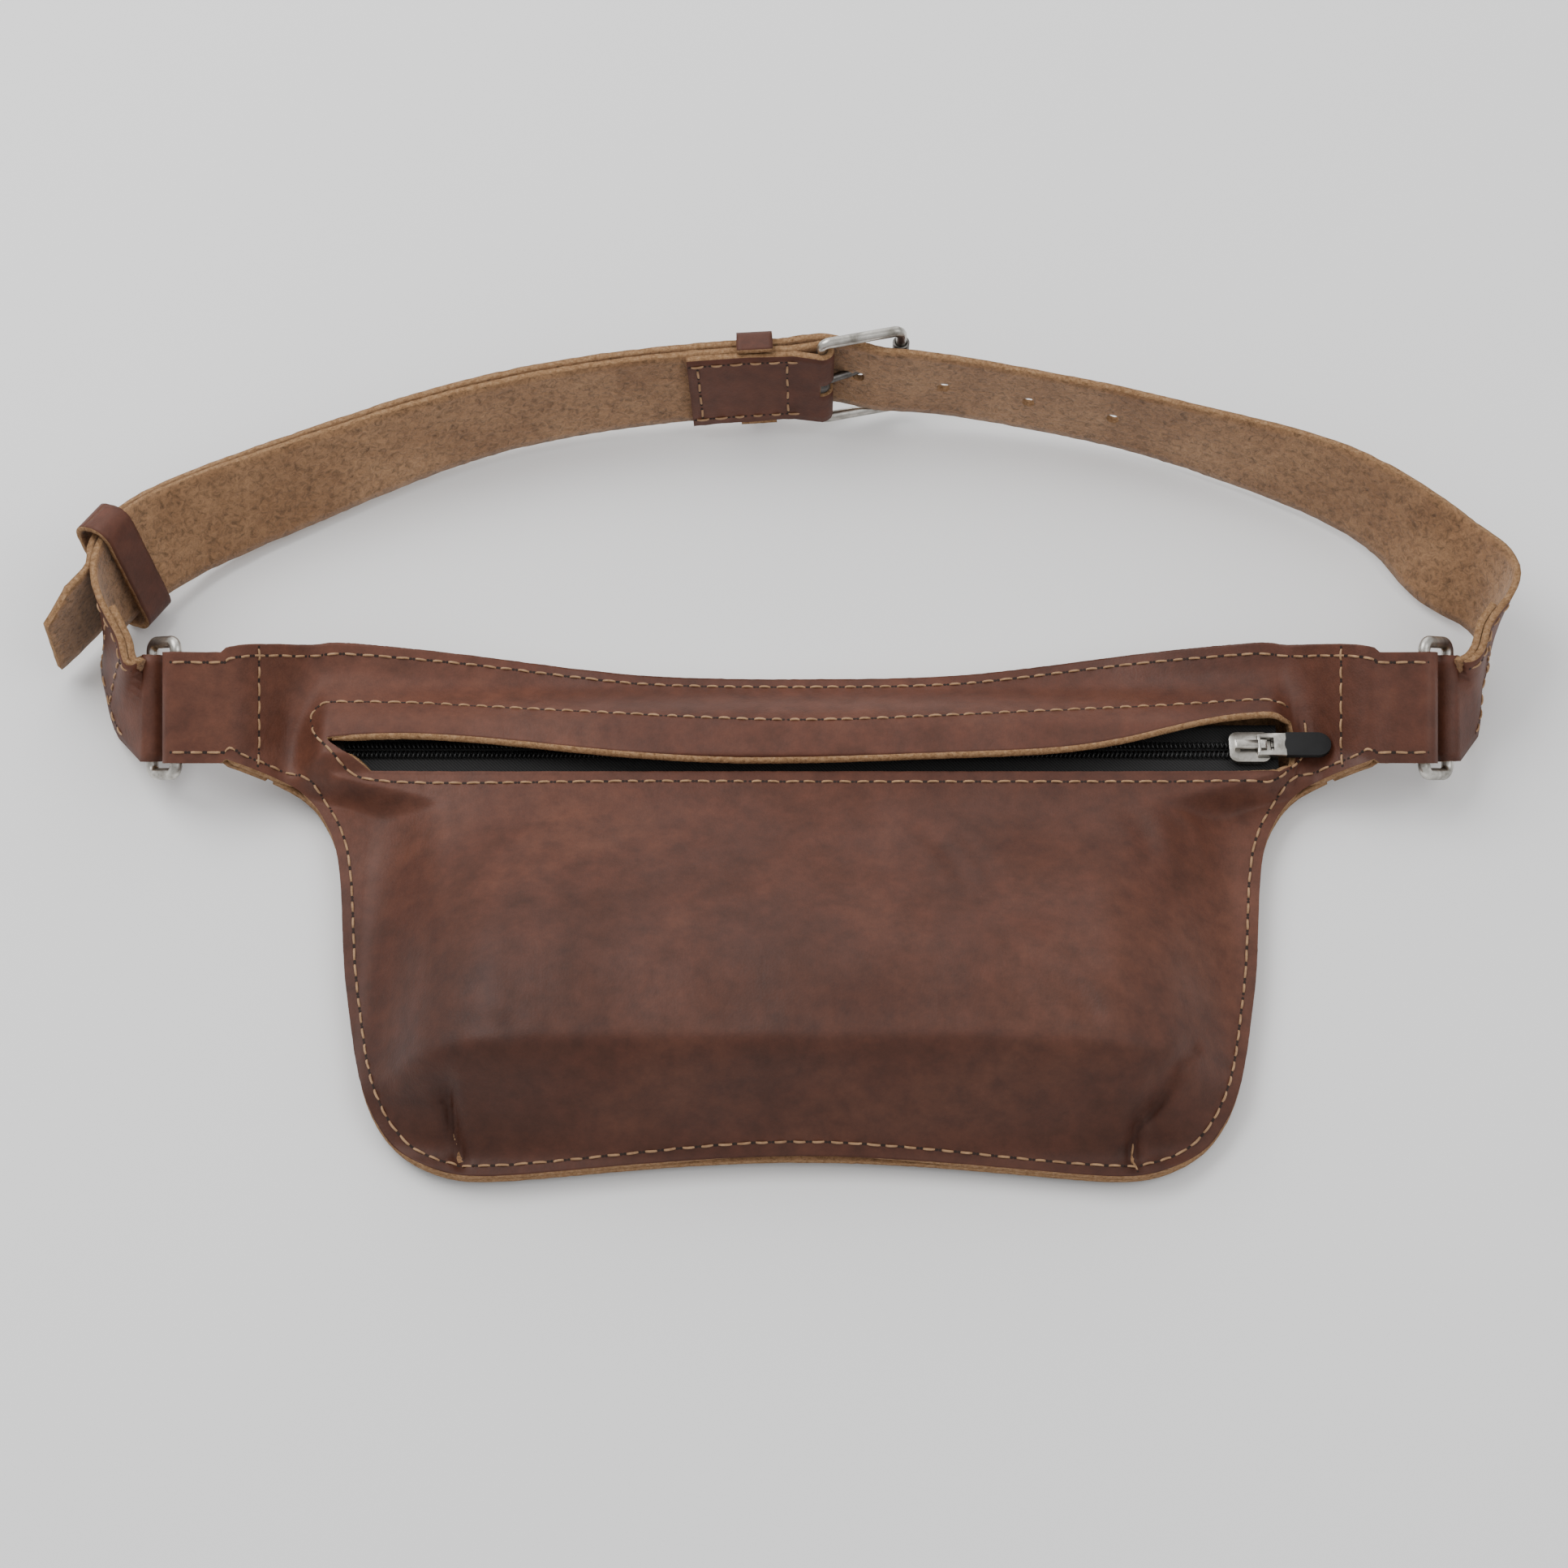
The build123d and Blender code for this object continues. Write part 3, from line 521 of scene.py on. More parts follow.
SIDE_EDGE = [(160, 38.9), (150, 37.2), (140, 34.8), (133.4, 27.0), (129.2, 16.5), (126.4, -4.0),
             (124.7, -20.8), (122.2, -36.0), (117.6, -56.5), (111.6, -68.5), (105.5, -74.8),
             (96, -79.7), (86, -81.3), (70, -80.4), (45, -78.0), (20, -76.2), (0, BOTTOM_Y)]
LIP = [(-132, 46), (-103, 47.2), (-48, 41.6), (0, 40.2), (48, 41.6), (87, 45.3), (113, 52),
       (140, 54)]
LEFT_DART = [(-89.8, -80.0), (-91.0, -73.0), (-93.0, -65.0)]
RIGHT_DART = [(89.5, -81.5), (88.2, -74.0), (89.0, -68.5), (95.8, -62.5), (105.0, -50.0)]


def tilt_at(x):
    return TILT * smooth((np.abs(x) - 65.0) / 85.0)


def lift(x, y):
    """Height of the pack's underside: flat, rising to the wings."""
    bend = smooth((np.abs(x) - 136.0) / 24.0)
    rise = 13.0 * bend * smooth((y + 10.0) / 45.0)
    hinge = 55.0 - 16.1 * bend
    soft = 2.0 - 1.9 * bend
    d = np.minimum(y - hinge, 40.0) / soft
    return rise + np.tan(tilt_at(x)) * soft * np.logaddexp(0.0, d)


def ply(x):
    return LEATHER / np.cos(tilt_at(x))


def dome(x, y):
    zip_end = 121 + 25 * smooth((y - 26) / 12)
    zip_width = 24 - 10 * smooth((y - 26) / 12)
    base = 13 * smooth((72.4 - y) / 22) - 4 * smooth((41.5 - y) / 5)
    base = base * smooth((zip_end - np.abs(x)) / zip_width)
    pouch = 21 * smooth((37 - y) / 78) * smooth((121 - np.abs(x)) / 42)
    return (base + pouch) * smooth((y + 77.2) / 24)


def to_line(x, y, line):
    """Distance to a line, and how far along it the nearest place is (0 to 1)."""
    line = np.asarray(line, float)
    best = np.full(np.shape(x), 1e9)
    place = np.zeros(np.shape(x))
    for k in range(len(line) - 1):
        a, b = line[k], line[k + 1]
        span = b - a
        t = np.clip(((x - a[0]) * span[0] + (y - a[1]) * span[1]) / span.dot(span), 0, 1)
        d = np.hypot(x - a[0] - t * span[0], y - a[1] - t * span[1])
        nearer = d < best
        best = np.where(nearer, d, best)
        place = np.where(nearer, (k + t) / (len(line) - 1), place)
    return best, place


def groove(distance, width):
    return np.exp(-(distance / width) ** 2)


CREASES = [((30, 22), (46, -8), 0.55, 2.6), ((34, 24), (52, -2), 0.35, 2.0),
           ((56, -28), (84, -58), 0.75, 3.0), ((62, -22), (92, -50), 0.55, 2.6),
           ((70, -20), (98, -44), 0.45, 2.4), ((88, 28), (98, 4), 0.7, 3.0),
           ((94, 30), (106, 8), 0.5, 2.4), ((101, 26), (108, 10), 0.4, 2.0),
           ((-60, 30), (-84, 14), 0.4, 3.2), ((-40, -62), (20, -66), 0.8, 4.0),
           ((-88, -50), (-70, -58), 0.6, 3.4), ((10, -60), (60, -62), 0.6, 3.6)]


def front_top(x, y):
    """Height of the front panel's grain side."""
    x, y = np.asarray(x, float), np.asarray(y, float)
    z = lift(x, y) + 2 * ply(x) + dome(x, y)
    body = smooth((126 - np.abs(x)) / 30) * smooth((34 - y) / 14) * smooth((y + 76) / 20)
    flat = np.stack([x, y, np.zeros_like(x)], axis=-1)
    z = z + body * (1.1 * wobble(flat, 46, 3.0) + 0.5 * wobble(flat, 19, 7.0))
    z = z + 0.10 * wobble(flat, 7, 1.0)
    for a, b, depth, width in CREASES:
        mid = ((a[0] + b[0]) / 2 + 2.5, (a[1] + b[1]) / 2 + 1.5)
        d, place = to_line(x, y, [a, mid, b])
        fade = np.sin(np.pi * np.clip(place, 0.02, 0.98))
        z = z - depth * fade * groove(d, width) + 0.45 * depth * fade * groove(d - 2 * width, width)
    d, place = to_line(x, y, LEFT_DART)
    z = z - (2.4 + 2.8 * place) * groove(d, 1.5) * body_edge(y)
    outside = smooth((np.abs(x) - 90.5) / 3.0) * smooth((-56.0 - y) / 9.0) * smooth((y + 79) / 8)
    z = z - 2.6 * outside
    d = np.hypot(x + 94.0, (y + 62.8) * 1.5)
    z = z - 5.0 * groove(d, 2.2)
    d, place = to_line(x, y, RIGHT_DART)
    z = z - (2.2 + 3.0 * smooth(place * 1.8) * smooth((1 - place) * 2.6)) * groove(d, 1.7) \
        * body_edge(y)
    return z


def body_edge(y):
    """0 at the bottom seam, 1 a little above it."""
    return smooth((y + 82.0) / 7.0)


def both_sides(half):
    return [(-x, y) for x, y in half[::-1] if x > 0] + [tuple(p) for p in half]


LOW_LINE = through(SIDE_EDGE[::-1], 1.5)              # from the middle out to x = 160
TOP_LINE = Spline([x for x, _ in both_sides(TOP_EDGE)], [y for _, y in both_sides(TOP_EDGE)])
LIP_LINE = Spline([p[0] for p in LIP], [p[1] for p in LIP])


def slot_edges(x):
    """Lower and upper edge of the opening over the zip at each x."""
    low = np.interp(x, [-178, -140, -132.5, -131.5, -128, -120, 134, 139.0, 140.2, 148, 178],
                    [52.3, 46.5, 46.0, 44.6, 42.0, 37.4, 37.4, 40.6, 50.5, 52.0, 52.3])
    lip = LIP_LINE(np.clip(x, -132, 140))[:, 0]
    inside = (x > -132.2) & (x < 139.6)
    return low, np.where(inside, np.maximum(lip, low), low)


ROWS_LOW, ROWS_UP = 84, 30               # rows of points below and above the opening
INNER_PLY_X = (LOOP_X, 157.0, 154.0, CROSS_SEAM_X + 0.1)


def body_columns():
    """x of each column and its lower outline, left to right, out to the wings' straight part."""
    half = LOW_LINE
    x = np.concatenate([-half[:0:-1, 0], half[:, 0]])
    low = np.concatenate([half[:0:-1, 1], half[:, 1]])
    return x, low


def crowd(count, ends=0.55):
    """0 to 1, closer together at the ends."""
    t = np.linspace(0, 1, count)
    return (1 - ends) * t + ends * smooth(t)


def fold_profile():
    """(x, height off the wing's middle) of the grain side round the ring's bar."""
    outer = WIRE_R + RUN + LEATHER
    start = BAR_X - 9.0
    points = [(x, LEATHER) for x in np.linspace(LOOP_X + 1.5, start, 4)]
    lean = math.asin((outer - LEATHER) / 9.0)
    for turn in np.linspace(math.pi / 2 + lean, -math.pi / 2 - lean, 17):
        points.append((BAR_X + outer * math.cos(turn), outer * math.sin(turn)))
    points += [(x, -LEATHER) for x in np.linspace(start, LOOP_X + 1.5, 4)]
    return points


def wing_end(side, x, y):
    """Columns of a wing round the ring's bar and back to the cross seam as the inner ply."""
    columns = []
    fraction = (y[:, -1] - y[0, -1]) / (y[-1, -1] - y[0, -1])
    for px, height in fold_profile():
        column = np.outer((fraction - 0.5) * WING_WIDTH, ACROSS) + FACE * height
        column += (0.0, *WING_MIDDLE)
        column[:, 0] = side * px
        columns.append(column)
    for px in INNER_PLY_X:
        i = int(np.argmin(np.abs(x - px)))
        at = np.full(len(y), side * px)
        columns.append(np.stack([at, y[:, i], lift(at, y[:, i])], axis=-1))
    return columns


def front_leather():
    x, low = body_columns()
    high = TOP_LINE(x)[:, 0]
    slot_low, slot_up = slot_edges(x)
    below = low + np.outer(crowd(ROWS_LOW), slot_low - low)
    above = slot_up + np.outer(crowd(ROWS_UP, 0.3), high - slot_up)
    y = np.vstack([below, above])
    xs = np.broadcast_to(x, y.shape)
    z = front_top(xs, y)
    grid = np.stack([xs, y, z], axis=-1)                        # rows x columns x 3
    rows = len(grid)
    left, right = wing_end(-1, x, y), wing_end(1, x, y)
    grid = np.concatenate([np.stack(left[::-1], axis=1), grid, np.stack(right, axis=1)], axis=1)
    columns = grid.shape[1]
    skip = np.zeros((rows - 1, columns - 1), bool)
    gap = np.linalg.norm(grid[ROWS_LOW - 1] - grid[ROWS_LOW], axis=-1)
    skip[ROWS_LOW - 1] = True
    grid[ROWS_LOW][gap < 0.05] = grid[ROWS_LOW - 1][gap < 0.05]
    obj = make("front_leather", grid.reshape(-1, 3), grid_faces(rows, columns, skip), "bag",
               LEATHERS)
    weld = obj.modifiers.new("weld", "WELD")
    weld.merge_threshold = 0.01 * MM
    thicken(obj, LEATHER - 0.06, -1.0)
    bake(obj)
    finish_leather(obj, "front_panel", 0.10)


def back_leather():
    x, low = body_columns()
    keep = np.abs(x) <= CROSS_SEAM_X - 0.3
    x, low = x[keep], low[keep]
    high = TOP_LINE(x)[:, 0]
    y = low + np.outer(np.linspace(0, 1, 60), high - low)
    xs = np.broadcast_to(x, y.shape)
    flat = np.stack([xs, y, np.zeros_like(y)], axis=-1)
    z = lift(xs, y) + 0.25 * np.maximum(wobble(flat, 40, 5.0), 0) * smooth((y + 76) / 20)
    grid = np.stack([xs, y, z], axis=-1)[::-1]
    obj = make("back_leather", grid.reshape(-1, 3), grid_faces(*y.shape), "bag", LEATHERS)
    thicken(obj, LEATHER - 0.06, -1.0)
    bake(obj)
    finish_leather(obj, "back_panel", 0.10)


def on_front(line, raise_by=0.0):
    """Points and normals on the front panel over an xy line."""
    line = np.asarray(line, float)
    x, y = line[:, 0], line[:, 1]
    z = front_top(x, y)
    e = 0.6
    gx = (front_top(x + e, y) - front_top(x - e, y)) / (2 * e)
    gy = (front_top(x, y + e) - front_top(x, y - e)) / (2 * e)
    normal = unit(np.stack([-gx, -gy, np.ones_like(gx)], axis=-1))
    return np.stack([x, y, z], axis=-1) + normal * raise_by, normal


def on_back(line):
    line = np.asarray(line, float)
    x, y = line[:, 0], line[:, 1]
    z = lift(x, y)
    e = 0.6
    gx = (lift(x + e, y) - lift(x - e, y)) / (2 * e)
    gy = (lift(x, y + e) - lift(x, y - e)) / (2 * e)
    normal = unit(np.stack([gx, gy, -np.ones_like(gx)], axis=-1))
    return np.stack([x, y, z], axis=-1), normal


def inset_low(distance):
    """The lower outline moved inward, from the left wing round to the right wing."""
    x, low = body_columns()
    line = np.stack([x, low], axis=1)
    run = unit(np.gradient(line, axis=0))
    inner = np.stack([-run[:, 1], run[:, 0]], axis=1)
    return line + inner * distance


def wing_line(side, across):
    """Straight seam along a wing, at a distance across it from its middle."""
    x = np.linspace(LOOP_X, BAR_X + 1.0, 8)
    profile = fold_profile()[:8]
    height = np.interp(x, [p[0] for p in profile], [p[1] for p in profile])
    points = np.outer(np.ones(8), ACROSS * across) + np.outer(height, FACE)
    points[:, 0] = side * x
    points[:, 1] += WING_MIDDLE[0]
    points[:, 2] += WING_MIDDLE[1]
    normals = np.tile(FACE, (8, 1))
    return points, normals


def body_seams():
    """Every row of stitches on the pack's front."""
    low = inset_low(SEAM_INSET)
    low_points, low_normals = on_front(low)
    x = np.linspace(-LOOP_X, LOOP_X, 260)
    top_y = TOP_LINE(x)[:, 0] - TOP_SEAM_INSET
    top_points, top_normals = on_front(np.stack([x, top_y], axis=1))
    runs = []
    for points, normals, across in ((low_points, low_normals, -12.5),
                                    (top_points, top_normals, 12.6)):
        left, left_n = wing_line(-1, across)
        right, right_n = wing_line(1, across)
        runs.append((np.vstack([left[::-1], points, right]),
                     np.vstack([left_n[::-1], normals, right_n])))
    upper = through([(-137.8, 54), (-136.5, 57.8), (-130.5, 59.0), (-112.4, 59.6), (-94, 58.9),
                     (-66.8, 56.5), (-48.5, 54.8), (3.3, 52.2), (77, 57.0), (113, 59.2),
                     (126.7, 60.0), (138.4, 58.9)], 1.0)
    lower = through([(-137.2, 52.0), (-133.6, 44.6), (-126.5, 37.6), (-119, 34.6), (-60, 34.2),
                     (0, 34.2), (60, 34.2), (124, 34.4), (133.8, 36.2), (140.5, 43.0),
                     (142.8, 50.0), (142.6, 56.0)], 1.0)
    runs += [on_front(upper), on_front(lower)]
    for side in (-1, 1):
        y = np.linspace(38.6, 69.4, 40)
        x = np.full(40, side * (CROSS_SEAM_X + 1.6))
        runs.append(on_front(np.stack([x, y], axis=1)))
    runs.append(on_front(through([(-89.9, -78.5), (-91.2, -73.0), (-92.8, -68.0)], 0.5)))
    runs.append(on_front(through([(89.4, -79.8), (88.2, -75.0), (88.6, -70.5)], 0.5)))
    return runs


def back_seams():
    low = inset_low(SEAM_INSET)
    low = low[np.abs(low[:, 0]) < CROSS_SEAM_X - 1]
    x = np.linspace(-CROSS_SEAM_X + 1, CROSS_SEAM_X - 1, 240)
    top = np.stack([x, TOP_LINE(x)[:, 0] - TOP_SEAM_INSET], axis=1)
    return [on_back(low), on_back(top)]


def lip_fibres():
    """Fuzzy cut edge of the lip over the zip."""
    x = np.arange(-131.0, 139.2, 0.6)
    lip = slot_edges(x)[1]
    centre = np.stack([x, lip, front_top(x, lip) - 1.0], axis=1)
    rough = wobble(centre, 1.7, 2.0) + 0.5 * wobble(centre, 0.8, 4.0)
    fade = smooth((x + 131.0) / 6.0) * smooth((139.2 - x) / 4.0) * 0.6 + 0.4
    sides = 10
    grid = np.zeros((len(x), sides, 3))
    for n, turn in enumerate(circle(sides)):
        bump_out = 1.0 + 0.16 * rough * math.sin(3 * turn + 1) + 0.12 * rough
        grid[:, n, 0] = x
        grid[:, n, 1] = centre[:, 1] - 0.25 + 0.95 * fade * bump_out * math.cos(turn)
        grid[:, n, 2] = centre[:, 2] + 1.12 * bump_out * math.sin(turn) * fade
    faces = [face[::-1] for face in tube_faces(len(x), sides)]
    obj = make("lip_edge", grid.reshape(-1, 3), faces, "bag", [RAW_EDGE])


front_leather()
back_leather()
lip_fibres()
stitches("pack_stitches", "bag", body_seams())
stitches("back_stitches", "bag", back_seams())


# ---- zip ----

ZIP_Y = 46.0
HALF_SPLIT = 0.35       # from the zip's middle to each tape and coil
COIL_PITCH = 1.3
COIL_WIRE_R = 0.32
POINTS_PER_TURN = 14
tape_low, tape_high = box_mm("zip_tape_upper")
coil_low, coil_high = box_mm("zip_coil_upper")


def zip_tape(name, way):
    """Woven tape with a slightly raised edge cord beside the coil."""
    ys = np.array([0.0, 0.5, 1.0, 2.4, 2.9, 3.4, 5.0, 7.0, 8.4])
    zs = np.array([0.0, 0.04, 0.05, 0.04, 0.22, 0.04, 0.0, -0.05, -0.1])
    x = np.arange(tape_low[0], tape_high[0] + 0.5, 1.5)
    grid = np.zeros((len(x), len(ys), 3))
    grid[..., 0] = x[:, None]
    grid[..., 1] = ZIP_Y + way * (HALF_SPLIT + ys)
    grid[..., 2] = tape_high[2] + zs - 0.05
    faces = grid_faces(len(x), len(ys))
    if way < 0:
        faces = [f[::-1] for f in faces]
    obj = make(name + "_cloth", grid.reshape(-1, 3), faces, "bag", [TAPE])
    solid = obj.modifiers.new("cloth", "SOLIDIFY")
    solid.thickness = 0.5 * MM
    solid.offset = 1.0
    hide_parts(name)


def tube(path, radius, sides):
    """Points and faces of a round tube along a path."""
    path = np.asarray(path, float)
    run = unit(np.gradient(path, axis=0))
    up = np.array([0.0, 0.0, 1.0])
    side = unit(np.cross(run, up) + 1e-6)
    over = np.cross(side, run)
    rings = []
    for turn in circle(sides):
        rings.append(path + (side * math.cos(turn) + over * math.sin(turn)) * radius)
    return np.stack(rings, axis=1).reshape(-1, 3), tube_faces(len(path), sides)


def zip_coil(name, way):
    """Nylon coil, one wound wire; the lower one lies a quarter of a pitch further on."""
    turns = int((coil_high[0] - coil_low[0] - 1) / COIL_PITCH)
    t = np.arange(turns * POINTS_PER_TURN + 1) / POINTS_PER_TURN
    angle = 2 * math.pi * t
    half_wide = (coil_high[1] - coil_low[1]) / 2 - 0.33
    half_tall = (coil_high[2] - coil_low[2]) / 2 - 0.33
    shift = 0.0 if way > 0 else COIL_PITCH / 4
    x = coil_low[0] + 0.6 + shift + t * COIL_PITCH
    y = ZIP_Y + way * (HALF_SPLIT + 1.15 + half_wide * np.cos(angle))
    z = (coil_low[2] + coil_high[2]) / 2 + half_tall * np.sin(angle)
    verts, faces = tube(np.stack([x, y, z], axis=1), COIL_WIRE_R, 6)
    obj = make(name + "_turns", verts, faces, "bag", [NYLON])
    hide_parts(name)


zip_tape("zip_tape_upper", 1)
zip_tape("zip_tape_lower", -1)
zip_coil("zip_coil_upper", 1)
zip_coil("zip_coil_lower", -1)


# ---- belt line ----

STRAP = 30.0
PLY = LEATHER / 2 + 0.1
RING_OUT, RING_REACH = 8.2, 12.2
RING_DOWN = math.sqrt(RING_REACH ** 2 - RING_OUT ** 2)
TAIL_OFFSET = 3.8       # hole strap, where it runs outside the buckle strap
BUCKLE_X, BUCKLE_REACH = 6.5, 24.0
BUCKLE_WIRE_R = 1.6
LEAVE_ANGLE = 25        # a strap leaves its ring this much downward
FACET = 0.02            # added to every fold's radius
OPEN_CLEARANCE = 0.40   # right strap's fold on its ring
HOLE_PITCH, HOLE_R = 25.4, 1.9
FIRST_HOLE = 11.0       # from the heel bar to the hole that the prong is in
KEEPER_WIDTH, KEEPER_THICK = 10.5, 1.6
SEAM_ACROSS = 12.2      # belt seams, off the strap's middle
RIGHT_END = [(189.6, 63.0, 13.2, -0.05, 0.42), (193.5, 75.0, 14.0, 0.00, 0.28),
             (197.8, 85.5, 14.8, 0.12, 0.16), (198.4, 95.0, 14.4, 0.30, 0.12)]
LEFT_END = [(-190.0, 62.0, 13.4, 0.10, 0.38), (-193.4, 71.0, 15.0, 0.20, 0.22),
            (-196.0, 80.5, 17.4, 0.10, 0.16), (-196.6, 91.5, 18.6, -0.10, 0.14)]
RIGHT_RUN = [(188.4, 106.5, 32, 0), (177.0, 118.0, 22, 0), (153.0, 135.0, 11, 0),
             (125.0, 146.2, 2, 0), (96.0, 155.6, -3, 0.6), (66.0, 162.2, -4, 2.0),
             (36.0, 166.8, -3, 3.6)]
LEFT_RUN = [(-187.0, 109.5, 29, 3.6), (-175.0, 119.0, 27, 1.6), (-150.0, 132.0, 20, 0),
            (-121.0, 145.0, 12, 0), (-92.0, 155.5, 6, 0.8), (-62.0, 162.2, 4, 1.8),
            (-30.0, 165.8, 3, 3.4)]
BACK = (4.0, 167.4, 1, 4.4)


def strap_bar(side):
    return np.array([side * (BAR_X + RING_OUT), WING_MIDDLE[0], WING_MIDDLE[1]]) - FACE * RING_DOWN


def ring_end(side, listed):
    """Stations of a strap from its ring's bar on: middle, and line across."""
    out = [(strap_bar(side), ACROSS)]
    for x, y, z, rx, ry in listed:
        out.append((np.array([x, y, z]), np.array([rx, ry, math.sqrt(1 - rx * rx - ry * ry)])))
    return out


def belt_stations():
    """Middle and line across, from the left ring round the back to the right ring."""
    line = LEFT_RUN + [BACK] + RIGHT_RUN[::-1]
    back = []
    for i, (x, y, lean, rise) in enumerate(line):
        a, b = line[max(i - 1, 0)], line[min(i + 1, len(line) - 1)]
        outward = unit(np.array([-(b[1] - a[1]), b[0] - a[0], 0.0]))
        turn = math.radians(lean)
        rule = outward * math.sin(turn) + np.array([0, 0, math.cos(turn)])
        back.append((np.array([x, y, STRAP / 2 * math.cos(turn) + rise]), rule))
    return ring_end(-1, LEFT_END) + back + ring_end(1, RIGHT_END)[::-1]


class Belt:
    def __init__(self):
        stations = belt_stations()
        points = np.array([p for p, _ in stations])
        rules = np.array([r for _, r in stations])
        knots = np.concatenate([[0], np.cumsum(np.linalg.norm(np.diff(points, axis=0), axis=1))])
        turn = math.radians(LEAVE_ANGLE)
        first = np.array([-math.cos(turn), 0, 0]) - FACE * math.sin(turn)
        last = -(np.array([math.cos(turn), 0, 0]) - FACE * math.sin(turn))
        self.length = float(knots[-1])
        self.curve = Spline(knots, points, (first, last))
        self.rule = Spline(knots, rules)

    def at(self, s):
        centre = self.curve(s)[0]
        run = unit(self.curve(s, True)[0])
        across = self.rule(s)[0]
        across = unit(across - run * across.dot(run))
        return centre, across, np.cross(across, run), run

    def find_x(self, x):
        low, high = self.length * 0.25, self.length * 0.75
        for _ in range(40):
            middle = (low + high) / 2
            if self.curve(middle)[0][0] < x:
                low = middle
            else:
                high = middle
        return (low + high) / 2


BELT = Belt()
HEEL_S = BELT.find_x(BUCKLE_X)
FRONT_S = HEEL_S + BUCKLE_REACH
KEEPER_S, FIXED_KEEPER_S, TAIL_LEAVES_S = 52.0, HEEL_S - 19.0, 48.0
TAIL_LENGTH, TAIL_Z = 27.0, 17.6
FOLD_CLEAR, RING_DOUBLED, BUCKLE_DOUBLED = 8.0, 31.0, 39.0


def along(start, end, step=1.8):
    return np.linspace(start, end, max(2, int(abs(end - start) / step) + 1))


def ply_path(marks, offset):
    """Stations of one ply; offset is a distance, or a function giving one at each mark."""
    out = []
    for s in marks:
        centre, across, face, _ = BELT.at(s)
        off = offset(s) if callable(offset) else offset
        out.append((centre + face * off, across, face * (-1.0 if off < 0 else 1.0)))
    return out


def fold_round(s, toward_sign, radius):
    bar, across, outer, run = BELT.at(s)
    out = []
    for turn in np.radians(np.linspace(62, 298, 21)):
        radial = run * toward_sign * math.cos(turn) + outer * math.sin(turn)
        out.append((bar + radial * radius, across, radial))
    return out


def strap_mesh(name, body, path, skip_test=None, seed=0.0):
    """Strap along (centre, across, face) stations, grain side along face."""
    columns = 13
    t = np.linspace(-1, 1, columns)
    grid = np.zeros((len(path), columns, 3))
    for i, (centre, across, face) in enumerate(path):
        half = STRAP / 2
        grid[i] = centre + np.outer(t * half, across)
        sag = 0.14 * noise.noise(Vector(centre / 26.0 + seed))
        grid[i] += np.outer(sag * (1 - t * t) * 2, face)
        edge = 0.22 * noise.noise(Vector(centre / 9.0 + seed + 5))
        grid[i] += np.outer(edge * np.abs(t) ** 6 * t, across)
    skip = np.zeros((len(path) - 1, columns - 1), bool)
    if skip_test:
        for i in range(len(path) - 1):
            for j in range(columns - 1):
                skip[i][j] = skip_test(i, (t[j] + t[j + 1]) / 2 * STRAP / 2)
    faces = grid_faces(len(path), columns, skip)
    normal = np.cross(grid[1][6] - grid[0][6], grid[0][7] - grid[0][6])
    if normal.dot(path[0][2]) > 0:
        faces = [f[::-1] for f in faces]
    obj = make(name, grid.reshape(-1, 3), faces, body, LEATHERS)
    thicken(obj, LEATHER - 0.04, 0.0)
    return obj


def cut_with(obj, places, radius, depth=8.0):
    """Punches round holes through a thickened strap."""
    sides = 20
    verts, faces = [], []
    for centre, axis in places:
        axis = unit(axis)
        side = unit(np.cross(axis, [0.3, 0.2, 1.0]))
        over = np.cross(axis, side)
        faces += tube_faces(2, sides, len(verts))
        for level in (-depth / 2, depth / 2):
            for turn in circle(sides):
                ring = side * math.cos(turn) + over * math.sin(turn)
                verts.append(centre + axis * level + ring * radius)
    mesh = bpy.data.meshes.new("punch")
    mesh.from_pydata((np.array(verts) * MM).tolist(), [], faces)
    mesh.materials.append(RAW_EDGE)
    punch = bpy.data.objects.new("punch", mesh)
    bpy.context.scene.collection.objects.link(punch)
    tool = obj.modifiers.new("punch", "BOOLEAN")
    tool.operation = "DIFFERENCE"
    tool.solver = "EXACT"
    tool.material_mode = "TRANSFER"
    tool.object = punch
    bake(obj)
    bpy.data.objects.remove(punch)


def buckle_strap():
    path = ply_path(along(RING_DOUBLED, FOLD_CLEAR), -PLY)
    path += fold_round(0.0, 1, WIRE_R + RUN + FACET + LEATHER / 2)[::-1]
    path += ply_path(along(FOLD_CLEAR, HEEL_S - FOLD_CLEAR), PLY)
    first = len(path)
    path += fold_round(HEEL_S, -1, BUCKLE_WIRE_R + RUN + FACET + LEATHER / 2)
    last = len(path)
    path += ply_path(along(HEEL_S - FOLD_CLEAR, HEEL_S - BUCKLE_DOUBLED), -PLY)
    obj = strap_mesh("buckle_strap_leather", "belt", path,
                     lambda i, t: first + 2 <= i < last - 3 and abs(t) < 2.6, 1.0)
    bake(obj)
    finish_leather(obj, "buckle_strap")


def hole_offset(s):
    rise_end = FRONT_S - 4.0
    up = 1 - smooth((s - HEEL_S) / (rise_end - HEEL_S))
    over = smooth((s - HEEL_S + 13.0) / 12.0)
    return PLY + (TAIL_OFFSET + over * 1.5 - PLY) * up


def rotate_z(v, degrees):
    c, s = math.cos(math.radians(degrees)), math.sin(math.radians(degrees))
    return np.array([v[0] * c - v[1] * s, v[0] * s + v[1] * c, v[2]])


